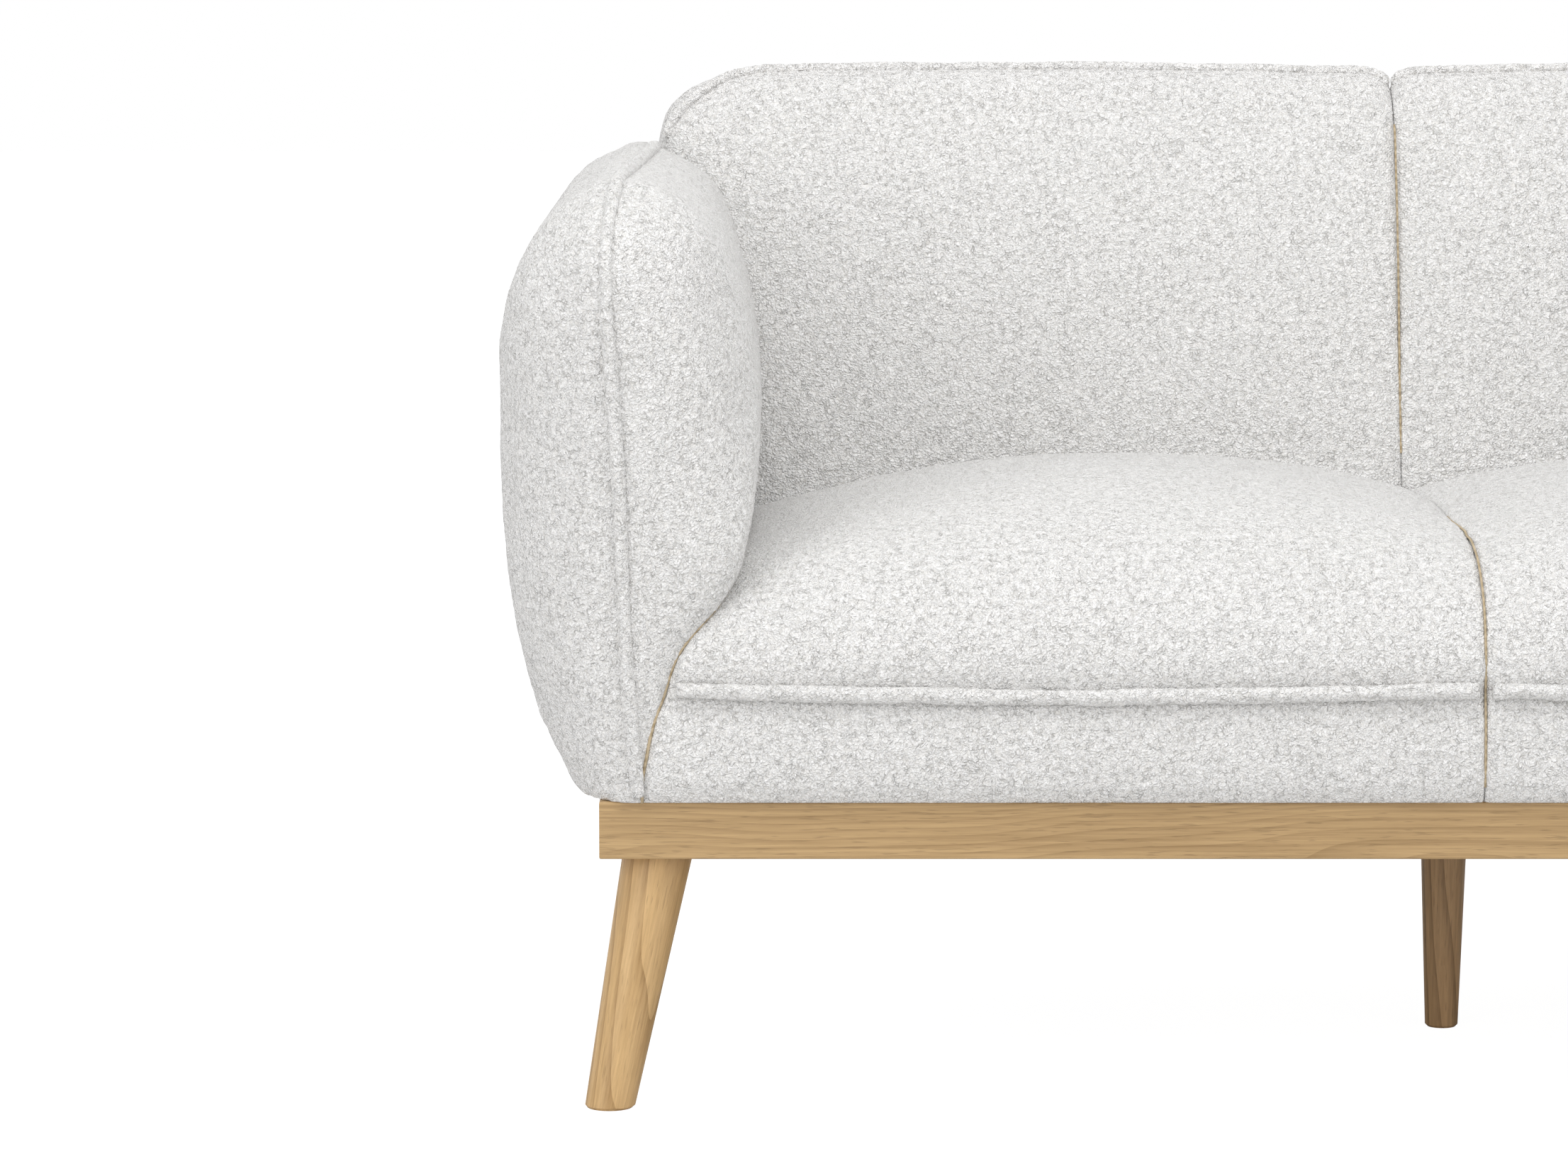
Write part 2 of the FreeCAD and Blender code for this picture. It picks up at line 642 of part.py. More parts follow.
def make_deck():
    """Felt over the springs of each seat and the dust cover under the seat box."""
    for side, sign in SIDES.items():
        low, high = span(sign, "clearance", "box_half - board_thickness")
        keep(box(f"seat_felt_{side}", (low, "box_front + board_thickness / 2", "felt_bottom"),
                 (high, "back_foot - clearance", "felt_bottom + felt_thickness")), f"seat_felt_{side}")
    keep(box("dust_cover", ("-box_half", "-plinth_inner + clearance", "rail_top - cover_thickness"),
             ("box_half", "plinth_inner - clearance", "rail_top")), "dust_cover")


# ---------------------------------------------------------------- back frame

def make_back_frame():
    """Three posts in front of the rear board, a top rail over them and two lower rails."""
    holes = back_bolt_holes("posts")
    posts = {"left": "-(post_half - post_width / 2)", "centre": "0", "right": "post_half - post_width / 2"}
    for index, (name, middle) in enumerate(posts.items()):
        blank = box(f"back_post_{name}_blank", (f"{middle} - post_width / 2", "post_front", "rail_top"),
                    (f"{middle} + post_width / 2", "frame_plane", "post_top"))
        drilled(f"back_post_{name}", blank, holes[2 * index:2 * index + 2])
    keep(box("back_top_rail", ("-post_half", "post_front", "post_top"),
             ("post_half", "box_rear", "back_frame_top")), "back_top_rail")
    for side, sign in SIDES.items():
        low, high = span(sign, "post_width / 2", "post_half - post_width")
        keep(box(f"back_lower_rail_{side}", (low, "post_front", "lower_rail_bottom"),
                 (high, "frame_plane", "lower_rail_bottom + back_rail_height")), f"back_lower_rail_{side}")


def make_back_webbing():
    """Upright straps on the rails, and level straps in front of them from post to post."""
    upright = []
    level = []
    for sign in SIDES.values():
        for index in range(WEBBING_PER_SEAT):
            share = (index + 0.5) / WEBBING_PER_SEAT
            middle = mirrored(sign, f"post_width / 2 + {share} * (post_half - 1.5 * post_width)")
            upright.append(box(f"upright_strap_{len(upright)}",
                               (f"{middle} - webbing_width / 2", "post_front - webbing_thickness",
                                "lower_rail_bottom + back_rail_height / 4"),
                               (f"{middle} + webbing_width / 2", "post_front",
                                "post_top + back_rail_height / 2")))
    for index in range(WEBBING_LEVELS):
        share = (index + 0.5) / WEBBING_LEVELS
        bottom = f"lower_rail_bottom + back_rail_height + {share} * (post_top - lower_rail_bottom" \
                 " - back_rail_height) - webbing_width / 2"
        level.append(box(f"level_strap_{index}", ("-post_half", "webbing_front", bottom),
                         ("post_half", "post_front - webbing_thickness", f"{bottom} + webbing_width")))
    group("back_webbing_upright", upright)
    group("back_webbing_level", level)


def make_back_bolts():
    """Bolts through the back posts into the rear board of the seat box."""
    bolts = []
    for index, (across, level) in enumerate(back_bolt_places()):
        shank = rod(f"back_shank_{index}", "bolt_diameter", "2 * board_thickness - bolt_end_gap",
                    (across, "post_front", level), Vector(0, 1, 0))
        head = rod(f"back_head_{index}", "bolt_head_diameter", "bolt_head_height",
                   (across, "post_front", level), Vector(0, -1, 0))
        bolts.append(joined(f"back_bolt_{index}", [shank, head]))
    group("back_bolts", bolts)


def make_back_panel():
    """The padded panel on the rear faces of the top rail and the rear board."""
    keep(box("outer_back_panel", ("-box_half", "box_rear", "rail_top + clearance"),
             ("box_half", "box_rear + back_panel_thickness", "back_frame_top")), "outer_back_panel")


# ---------------------------------------------------------------- arm frames

def make_arm_frames():
    """Two posts on each side rail with a rail over them, bolted to the seat box."""
    spots = screw_places()
    bolts = []
    for side, sign in SIDES.items():
        low, high = span(sign, "arm_inner", "arm_outer")
        for index, end in enumerate(ENDS):
            name = f"arm_{end}_post_{side}"
            middle = f"arm_{end}_post_along"
            blank = box(f"{name}_blank", (low, f"{middle} - post_width / 2", "rail_top"),
                        (high, f"{middle} + post_width / 2", "arm_post_top"))
            holes = arm_bolt_holes(name, sign, [end]) + screw_holes(name, [spots[side][index]])
            drilled(name, blank, holes)
            bolts.append(make_arm_bolt(len(bolts), sign, middle))
        keep(box(f"arm_top_rail_{side}", (low, "arm_front", "arm_post_top"),
                 (high, "arm_rear", "arm_frame_top")), f"arm_top_rail_{side}")
    group("arm_bolts", bolts)


def make_arm_bolt(index, sign, along):
    """A bolt from inside the seat box out to the arm post."""
    start = (mirrored(sign, "box_half - board_thickness"), along, "bolt_level")
    shank = rod(f"arm_shank_{index}", "bolt_diameter", "arm_outer - bolt_end_gap - box_half + board_thickness",
                start, Vector(sign, 0, 0))
    head = rod(f"arm_head_{index}", "bolt_head_diameter", "bolt_head_height", start, Vector(-sign, 0, 0))
    return joined(f"arm_bolt_{index}", [shank, head])


# ---------------------------------------------------------------- soft parts

def prism(points, push):
    """Extrude a closed polygon of points."""
    return Part.Face(Part.makePolygon(list(points) + [points[0]])).extrude(push)


def smooth_prism(points, push):
    """Extrude a face with a smooth curve through its points and a straight closing edge."""
    curve = Part.BSplineCurve()
    curve.interpolate(points)
    outline = Part.Wire([curve.toShape(), Part.makeLine(points[-1], points[0])])
    return Part.Face(outline).extrude(push)


def block_between(low, high):
    """A plain block between two corners of numbers."""
    size = high - low
    return Part.makeBox(size.x, size.y, size.z, low)


def back_plane(level, gap=0.0):
    """How far back the face of the backrest is at a level."""
    return value("back_foot") + value("back_lean") * (level - value("rail_top")) - gap


def soft_bottom():
    """The level of the underside of the upholstery."""
    return value("rail_top + clearance")


def arm_outline(along, gap=0.0):
    """The outline of the left arm seen from the front, moved inward by a gap."""
    outer = -value("half_width")
    bottom = soft_bottom()
    height = value("arm_top") - bottom
    width = value("arm_width")
    return [Vector(outer + across * width + gap, along, bottom + up * height)
            for across, up in ARM_OUTLINE]


def arm_side_profile(across):
    """The arm seen from the side, with rounded upper corners."""
    front = value("front_face")
    rear = value("rear_face")
    bottom = soft_bottom()
    top = value("arm_top")
    nose = value("arm_nose")
    start = Vector(across, front, bottom)
    in_share, down_share = ARM_ROUND_MIDDLE
    rounded = Part.Arc(Vector(across, front, top - ARM_ROUND_START * nose),
                       Vector(across, front + in_share * nose, top - down_share * nose),
                       Vector(across, front + ARM_ROUND_END * nose, top))
    in_share, down_share = ARM_REAR_MIDDLE
    rear_corner = Part.Arc(Vector(across, rear - nose, top),
                           Vector(across, rear - in_share * nose, top - down_share * nose),
                           Vector(across, rear, top - nose))
    heel = Vector(across, rear, bottom)
    edges = [Part.makeLine(start, rounded.StartPoint), rounded.toShape(),
             Part.makeLine(rounded.EndPoint, rear_corner.StartPoint), rear_corner.toShape(),
             Part.makeLine(rear_corner.EndPoint, heel), Part.makeLine(heel, start)]
    return Part.Face(Part.Wire(edges))


def arm_plan(level):
    """The arm seen from above, with a rounded front end and a rounded outer rear corner."""
    front = value("front_face")
    outer = -value("half_width")
    inner = outer + value("arm_width")
    nose = value("arm_nose")
    rear = value("rear_face")
    turn = value("arm_rear_round")
    rounded = Part.Arc(Vector(outer, front + nose, level), Vector((outer + inner) / 2, front, level),
                       Vector(inner, front + nose, level))
    corner = Part.Arc(Vector(outer + turn, rear, level),
                      Vector(outer + CORNER_MIDDLE * turn, rear - CORNER_MIDDLE * turn, level),
                      Vector(outer, rear - turn, level))
    edges = [rounded.toShape(),
             Part.makeLine(rounded.EndPoint, Vector(inner, rear, level)),
             Part.makeLine(Vector(inner, rear, level), corner.StartPoint),
             corner.toShape(),
             Part.makeLine(corner.EndPoint, rounded.StartPoint)]
    return Part.Face(Part.Wire(edges))


def behind_backrest(low, high):
    """Everything behind the face of the backrest between two places across the sofa."""
    gap = value("clearance")
    top = value("overall_height") + 1
    rear = value("rear_face") + 1
    side = [Vector(low, back_plane(0, gap), 0), Vector(low, back_plane(top, gap), top),
            Vector(low, rear, top), Vector(low, rear, 0)]
    return prism(side, Vector(high - low, 0, 0))


def arm_shape():
    """The left arm pad with a pocket for the arm frame and holes for its bolts."""
    whole = Vector(0, value("overall_depth"), 0)
    shape = smooth_prism(arm_outline(value("front_face")), whole)
    shape = shape.common(arm_side_profile(-value("half_width")).extrude(Vector(value("arm_width"), 0, 0)))
    shape = shape.common(arm_plan(soft_bottom()).extrude(Vector(0, 0, value("overall_height"))))
    gap = value("clearance")
    pocket = block_between(Vector(-value("arm_outer") - gap, value("arm_front") - gap, 0),
                           Vector(-value("arm_inner") + gap, value("arm_rear") + gap,
                                  value("arm_frame_top") + gap))
    backrest = behind_backrest(-value("back_half_width") - gap, 0)
    return shape.cut(backrest).cut(pocket).cut(arm_bolt_tools())


def arm_bolt_tools():
    """Cylinders that clear the left arm bolts."""
    radius = value("bolt_hole") / 2 + value("clearance")
    reach = value("arm_outer - box_half + board_thickness")
    tools = [Part.makeCylinder(radius, reach, Vector(-value("arm_outer"), value(f"arm_{end}_post_along"),
                                                     value("bolt_level")), Vector(1, 0, 0))
             for end in ENDS]
    return Part.makeCompound(tools)


def seat_shape():
    """The left seat pad: a crowned block rolled at the front, hollow over the seat box."""
    gap = value("clearance")
    bottom = soft_bottom()
    front = value("front_face")
    crown = value("seat_crown")
    outer = -value("half_width") + SEAT_START * value("arm_width")
    middle = -gap / 2
    width = middle - outer
    crest = [Vector(outer + share * width, front, crown - side * value("seat_side_drop")
                    - inner * value("seat_middle_drop")) for share, side, inner in SEAT_CREST]
    curve = Part.BSplineCurve()
    curve.interpolate(crest)
    feet = [Vector(middle, front, bottom), Vector(outer, front, bottom)]
    across = Part.Face(Part.Wire([curve.toShape(), Part.makeLine(crest[-1], feet[0]),
                                  Part.makeLine(feet[0], feet[1]), Part.makeLine(feet[1], crest[0])]))
    shape = across.extrude(Vector(0, value("overall_depth"), 0))
    shape = shape.common(seat_side_profile(outer).extrude(Vector(width, 0, 0)))
    arm = smooth_prism(arm_outline(front - 1, gap), Vector(0, value("overall_depth") + 2, 0))
    pocket = block_between(Vector(-value("box_half") - gap, value("box_front") - gap, 0),
                           Vector(1, value("rear_face"), value("deck_top")))
    return shape.cut(arm).cut(pocket).cut(arm_bolt_tools())


def seat_side_profile(across):
    """A seat from the side: a full front that rolls back into a slightly falling top."""
    gap = value("clearance")
    bottom = soft_bottom()
    front = value("front_face")
    top = value("seat_crown")
    roll_start = value("seat_front_top")
    rear_top = top - SEAT_REAR_FALL * value("seat_side_drop")
    start = Vector(across, front + value("plinth_inset"), bottom)
    full = Vector(across, front, bottom + SEAT_FULLEST * (roll_start - bottom))
    roll = Part.BSplineCurve()
    roll.interpolate([start, full, Vector(across, front + value("seat_front_step"), roll_start),
                      Vector(across, front + value("seat_roll_depth"), top - value("seat_roll_drop")),
                      Vector(across, front + value("seat_crest_depth"), top),
                      Vector(across, back_plane(rear_top, gap), rear_top)])
    foot = Vector(across, back_plane(bottom, gap), bottom)
    edges = [roll.toShape(), Part.makeLine(roll.EndPoint, foot), Part.makeLine(foot, start)]
    return Part.Face(Part.Wire(edges))


def back_front_face(along):
    """The left half of the backrest seen from the front, with a rounded upper corner."""
    bottom = soft_bottom()
    top = value("overall_height")
    side = -value("back_half_width")
    middle = -value("clearance") / 2
    round_across = value("back_shoulder")
    drop = value("back_shoulder_drop")
    in_share, down_share = SHOULDER_MIDDLE
    shoulder = Part.Arc(Vector(side, along, top - drop),
                        Vector(side + in_share * round_across, along, top - down_share * drop),
                        Vector(side + round_across, along, top))
    corners = [shoulder.EndPoint, Vector(middle, along, top), Vector(middle, along, bottom),
               Vector(side, along, bottom), shoulder.StartPoint]
    edges = [Part.makeLine(start, end) for start, end in zip(corners, corners[1:])]
    return Part.Face(Part.Wire([shoulder.toShape()] + edges))


def back_side_profile(across):
    """The backrest from the side: a leaning front, a rounded top and an upright rear."""
    bottom = soft_bottom()
    top = value("overall_height")
    rear = value("rear_face")
    roll = top - value("back_roll_drop")
    front_top = Vector(across, back_plane(roll), roll)
    crest = Vector(across, (front_top.y + rear) / 2 - value("back_crest_shift"), top)
    rear_top = Vector(across, rear - value("back_rear_step"), top - value("back_rear_drop"))
    rounded = Part.BSplineCurve()
    rounded.interpolate([front_top, crest, rear_top,
                         Vector(across, rear, top - value("back_rear_fall"))])
    foot = Vector(across, back_plane(bottom), bottom)
    heel = Vector(across, rear, bottom)
    edges = [Part.makeLine(foot, front_top), rounded.toShape(), Part.makeLine(rounded.EndPoint, heel),
             Part.makeLine(heel, foot)]
    return Part.Face(Part.Wire(edges))


def back_shape():
    """The left back pad, hollow over the seat box and behind for the back frame."""
    gap = value("clearance")
    width = value("back_half_width")
    shape = back_side_profile(-width).extrude(Vector(width, 0, 0))
    shape = shape.common(back_front_face(value("front_face")).extrude(Vector(0, value("overall_depth"), 0)))
    passage = block_between(Vector(-value("box_half") - gap, value("front_face"), 0),
                            Vector(1, value("rear_face") + 1, value("deck_top")))
    frame = block_between(Vector(-value("box_half") - gap, value("webbing_front") - gap, 0),
                          Vector(1, value("rear_face") + 1, value("back_frame_top") + gap))
    heads = block_between(Vector(-value("post_half") - gap,
                                 value("post_front - bolt_head_height") - gap, 0),
                          Vector(1, value("rear_face") + 1, value("box_top")))
    return shape.cut(passage).cut(frame).cut(heads)


def make_soft_parts():
    """The arm, seat and back pads, the right ones mirrored from the left ones."""
    envelope = block_between(Vector(-value("half_width"), value("front_face"), 0),
                             Vector(0, value("rear_face"), value("overall_height")))
    for kind, make_shape in (("arm", arm_shape), ("seat", seat_shape), ("back", back_shape)):
        left = make_shape().common(envelope)
        shapes = {"left": left, "right": left.mirror(Vector(), Vector(1, 0, 0))}
        for side, shape in shapes.items():
            feature = doc.addObject("Part::Feature", f"{kind}_cushion_{side}")
            feature.Shape = shape
            keep(feature, f"{kind}_cushion_{side}")


# ---------------------------------------------------------------- checks and files

def check_document():
    """Stop on a failed object or a bad sub-part."""
    for item in doc.Objects:
        if {"Invalid", "Error"} & set(item.State):
            raise RuntimeError(f"{item.Label} failed: {item.State}")
    for item in nodes:
        if item.Shape.isNull() or not item.Shape.isValid() or not item.Shape.Solids:
            raise RuntimeError(f"{item.Label} has no valid solid")


def write_parts():
    """Write one STEP file for each sub-part."""
    os.makedirs("parts", exist_ok=True)
    for item in nodes:
        item.Shape.exportStep(f"parts/{item.Label}.step")


fill_sheet()
make_plinth()
make_corner_blocks()
make_legs()
make_leg_fasteners()
make_plinth_screws()
make_seat_box()
make_springs()
make_deck()
make_back_frame()
make_back_webbing()
make_back_bolts()
make_back_panel()
make_arm_frames()
make_soft_parts()
doc.recompute()
check_document()
write_parts()
print(f"{len(nodes)} sub-parts written")
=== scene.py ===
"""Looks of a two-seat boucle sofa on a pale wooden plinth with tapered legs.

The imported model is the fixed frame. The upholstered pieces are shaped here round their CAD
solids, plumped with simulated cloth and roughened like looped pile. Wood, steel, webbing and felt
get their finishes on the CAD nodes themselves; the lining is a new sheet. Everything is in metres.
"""

import json
import logging
import math
from dataclasses import dataclass
from enum import Enum
from typing import Callable, ClassVar

import bpy
import numpy as np
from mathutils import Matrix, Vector


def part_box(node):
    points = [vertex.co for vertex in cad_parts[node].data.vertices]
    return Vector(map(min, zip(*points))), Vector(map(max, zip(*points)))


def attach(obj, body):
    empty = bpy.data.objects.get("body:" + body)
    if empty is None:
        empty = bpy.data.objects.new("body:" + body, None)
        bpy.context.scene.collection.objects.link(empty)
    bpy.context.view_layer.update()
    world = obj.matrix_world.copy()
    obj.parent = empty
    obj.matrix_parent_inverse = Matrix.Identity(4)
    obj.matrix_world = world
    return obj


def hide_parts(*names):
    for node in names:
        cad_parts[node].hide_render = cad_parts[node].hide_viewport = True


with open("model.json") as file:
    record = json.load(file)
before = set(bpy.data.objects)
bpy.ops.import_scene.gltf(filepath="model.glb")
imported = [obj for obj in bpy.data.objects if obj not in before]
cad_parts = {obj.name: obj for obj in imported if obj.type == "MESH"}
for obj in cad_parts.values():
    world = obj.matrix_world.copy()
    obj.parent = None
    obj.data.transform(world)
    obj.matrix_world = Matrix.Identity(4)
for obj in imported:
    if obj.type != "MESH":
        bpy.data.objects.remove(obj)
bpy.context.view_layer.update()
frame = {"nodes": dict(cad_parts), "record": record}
LOG = logging.getLogger("sofa")
Mover = Callable[[np.ndarray], np.ndarray]
Piece = bpy.types.Object


class Side(Enum):
    """Which end of the sofa a piece belongs to, as a sign along X."""

    LEFT = -1
    RIGHT = 1

    @property
    def word(self) -> str:
        """The side's name as the nodes spell it."""
        return self.name.lower()


# ------------------------------------------------------------------ curves and numbers

def smooth_path(points: list[tuple[float, ...]], count: int, closed: bool = False) -> np.ndarray:
    """Run a smooth curve through a few points.

    Args:
        points: the points that the curve passes through.
        count: how many samples to return, evenly spaced along the chords.
        closed: whether the curve returns to its first point.

    Returns:
        An array of samples, one row each.
    """
    knots = np.array(points, float)
    if closed:
        knots = np.vstack([knots, knots[:1]])
    steps = np.linalg.norm(np.diff(knots, axis=0), axis=1)
    stations = np.concatenate([[0.0], np.cumsum(steps)])
    slopes = np.gradient(knots, stations, axis=0)
    if closed:
        joint = (knots[1] - knots[-2]) / (steps[0] + steps[-1])
        slopes[0] = slopes[-1] = joint
    wanted = np.linspace(0.0, stations[-1], count, endpoint=not closed)
    span = np.clip(np.searchsorted(stations, wanted, side="right") - 1, 0, len(steps) - 1)
    length = steps[span][:, None]
    share = ((wanted - stations[span]) / steps[span])[:, None]
    square, cube = share ** 2, share ** 3
    return ((2 * cube - 3 * square + 1) * knots[span] + (cube - 2 * square + share) * length * slopes[span]
            + (3 * square - 2 * cube) * knots[span + 1] + (cube - square) * length * slopes[span + 1])


def along_curve(samples: np.ndarray, share: np.ndarray) -> np.ndarray:
    """Read a closed sampled curve at shares of its length between 0 and 1.

    Args:
        samples: the curve's samples, one row each.
        share: shares of its length.

    Returns:
        The places, one row each.
    """
    loop = np.vstack([samples, samples[:1]])
    place = np.mod(share, 1.0) * len(samples)
    low = np.floor(place).astype(int)
    rest = (place - low)[:, None]
    return loop[low] * (1 - rest) + loop[np.minimum(low + 1, len(samples))] * rest


def ease(value: np.ndarray, start: float, end: float) -> np.ndarray:
    """Rise smoothly from 0 at start to 1 at end."""
    share = np.clip((value - start) / (end - start), 0.0, 1.0)
    return share * share * (3 - 2 * share)


def quarter_round(distance: np.ndarray, radius: float, power: float = 2.0) -> np.ndarray:
    """Height of a rounded corner, as a share of its radius, at a distance from its foot.

    Args:
        distance: how far from the foot of the corner.
        radius: where the corner ends.
        power: 2 for a circle, more for a fuller corner.

    Returns:
        Shares from 0 to 1.
    """
    rest = 1 - np.clip(distance / radius, 0.0, 1.0)
    return (1 - rest ** power) ** (1 / power)


def relax(path: np.ndarray, passes: int) -> np.ndarray:
    """Even out a path, with its ends held.

    Args:
        path: points, one row each.
        passes: how often each point moves towards its neighbours.

    Returns:
        The evened path.
    """
    for _ in range(passes):
        inner = (path[:-2] + 2 * path[1:-1] + path[2:]) / 4
        path = np.vstack([path[:1], inner, path[-1:]])
    return path


# ------------------------------------------------------------------ modelling helpers

def deselect() -> None:
    """Leave nothing selected."""
    bpy.ops.object.select_all(action="DESELECT")


def activate(piece: Piece) -> None:
    """Select one piece only and make it the active one.

    Args:
        piece: the piece.
    """
    deselect()
    piece.select_set(True)
    bpy.context.view_layer.objects.active = piece


def name_piece(name: str) -> Piece:
    """Name the object that was just added, and its mesh.

    Args:
        name: the new name.

    Returns:
        The object.
    """
    piece = bpy.context.object
    piece.name = name
    piece.data.name = name
    return piece


def apply_modifier(piece: Piece, kind: str, **settings: object) -> None:
    """Add one modifier with its settings and apply it.

    Args:
        piece: the piece to change.
        kind: the modifier's type.
        **settings: the modifier's own properties.
    """
    activate(piece)
    modifier = piece.modifiers.new(kind.lower(), kind)
    for key, setting in settings.items():
        setattr(modifier, key, setting)
    bpy.ops.object.modifier_apply(modifier=modifier.name)


def coordinates(piece: Piece) -> np.ndarray:
    """The piece's vertices, one row each.

    Args:
        piece: the piece to read.

    Returns:
        The places of its vertices.
    """
    flat = np.zeros(len(piece.data.vertices) * 3)
    piece.data.vertices.foreach_get("co", flat)
    return flat.reshape(-1, 3)


def move_vertices(piece: Piece, mover: Mover) -> None:
    """Pass all vertices of a piece through a function of their places."""
    piece.data.vertices.foreach_set("co", np.ascontiguousarray(mover(coordinates(piece))).ravel())
    piece.data.update()


def face_outwards(piece: Piece) -> None:
    """Merge doubled vertices and turn all faces outwards.

    Args:
        piece: the piece to mend.
    """
    activate(piece)
    bpy.ops.object.mode_set(mode="EDIT")
    bpy.ops.mesh.select_all(action="SELECT")
    bpy.ops.mesh.remove_doubles(threshold=0.00002)
    bpy.ops.mesh.normals_make_consistent(inside=False)
    bpy.ops.object.mode_set(mode="OBJECT")


def add_globe(name: str, segments: int, rings: int, mover: Mover) -> Piece:
    """Add a ball and shape it into a closed pad.

    Args:
        name: the piece's name.
        segments: faces round the axis.
        rings: faces from pole to pole.
        mover: takes the ball's polar share and its share round the axis, and returns places.

    Returns:
        The shaped piece.
    """
    deselect()
    bpy.ops.mesh.primitive_uv_sphere_add(segments=segments, ring_count=rings, radius=1.0)
    piece = name_piece(name)

    def shape(ball: np.ndarray) -> np.ndarray:
        """Read the ball's vertices as shares and place them.

        Args:
            ball: the ball's vertices.

        Returns:
            Their new places.
        """
        polar = np.arccos(np.clip(ball[:, 2], -1, 1)) / math.pi
        around = np.mod(np.arctan2(ball[:, 1], ball[:, 0]) / (2 * math.pi), 1.0)
        return mover(np.column_stack([polar, around]))

    move_vertices(piece, shape)
    face_outwards(piece)
    return piece


def add_tube(name: str, path: np.ndarray, radius: float, closed: bool = False) -> Piece:
    """Add a round cord of cloth along a path and make it a mesh.

    Args:
        name: the piece's name.
        path: points along the cord's middle.
        radius: half the cord's thickness.
        closed: whether the cord's ends meet.

    Returns:
        The cord.
    """
    curve = bpy.data.curves.new(name, "CURVE")
    curve.dimensions = "3D"
    curve.bevel_depth = radius
    curve.bevel_resolution = 3
    curve.use_fill_caps = not closed
    spline = curve.splines.new("POLY")
    spline.points.add(len(path) - 1)
    spline.points.foreach_set("co", np.column_stack([path, np.ones(len(path))]).ravel())
    spline.use_cyclic_u = closed
    piece = bpy.data.objects.new(name, curve)
    bpy.context.scene.collection.objects.link(piece)
    activate(piece)
    bpy.ops.object.convert(target="MESH")
    piece = bpy.context.object
    face_outwards(piece)
    return piece


def lay_on(pad: Piece, path: np.ndarray, lift: float, passes: int) -> np.ndarray:
    """Lay a path on the skin of a pad.

    Args:
        pad: the piece to lie on.
        path: points near its skin.
        lift: how far outside the skin the path runs.
        passes: how often the result is evened out.

    Returns:
        The moved path.
    """
    laid = []
    for point in path:
        _, place, normal, _ = pad.closest_point_on_mesh(Vector(point))
        laid.append(place + normal * lift)
    return relax(np.array([tuple(place) for place in laid]), passes)


def wall_edge(pad: Piece, centre: tuple[float, float], start: float, end: float) -> np.ndarray:
    """Find the edge of a pad's flat wall at the middle of the sofa.

    Args:
        pad: a pad on the left that was pressed flat at the middle.
        centre: the wall's middle, as (along, level).
        start: first direction in degrees, 0 to the rear and 90 up.
        end: last direction in degrees.

    Returns:
        Points along the edge.
    """
    points = coordinates(pad)
    wall = points[points[:, 0] > -0.0005][:, 1:] - np.array(centre)
    angles = np.mod(np.degrees(np.arctan2(wall[:, 1], wall[:, 0])) - start, 360.0)
    reach = np.linalg.norm(wall, axis=1)
    steps = np.linspace(0.0, end - start, 160)
    edge = []
    for step in steps:
        near = np.abs(angles - step) < 1.6
        if near.any():
            swing = math.radians(start + step)
            edge.append((0.0, centre[0] + reach[near].max() * math.cos(swing),
                         centre[1] + reach[near].max() * math.sin(swing)))
    return relax(np.array(edge), 8)


def press_flat(piece: Piece, side: Side, foot: float) -> None:
    """Flatten a pad where it meets its twin in the middle and where it rests on the plinth.

    Args:
        piece: the pad.
        side: which end of the sofa it belongs to.
        foot: the level of the plinth's top.
    """
    def press(points: np.ndarray) -> np.ndarray:
        """Hold the pad on its own side of the middle and over the plinth.

        Args:
            points: vertices, one row each.

        Returns:
            The pressed places.
        """
        pressed = points.copy()
        inner = np.maximum(pressed[:, 0] * side.value, 0.0002)
        pressed[:, 0] = inner * side.value
        pressed[:, 2] = np.maximum(pressed[:, 2], foot)
        return pressed

    move_vertices(piece, press)


def mirror_copy(piece: Piece, name: str) -> Piece:
    """Copy a finished left piece to the right of the sofa.

    Args:
        piece: the left piece.
        name: the copy's name.

    Returns:
        The right piece.
    """
    activate(piece)
    bpy.ops.object.duplicate()
    twin = name_piece(name)
    twin.data.materials.clear()
    move_vertices(twin, lambda points: points * np.array([-1.0, 1.0, 1.0]))
    activate(twin)
    bpy.ops.object.mode_set(mode="EDIT")
    bpy.ops.mesh.select_all(action="SELECT")
    bpy.ops.mesh.flip_normals()
    bpy.ops.object.mode_set(mode="OBJECT")
    return twin


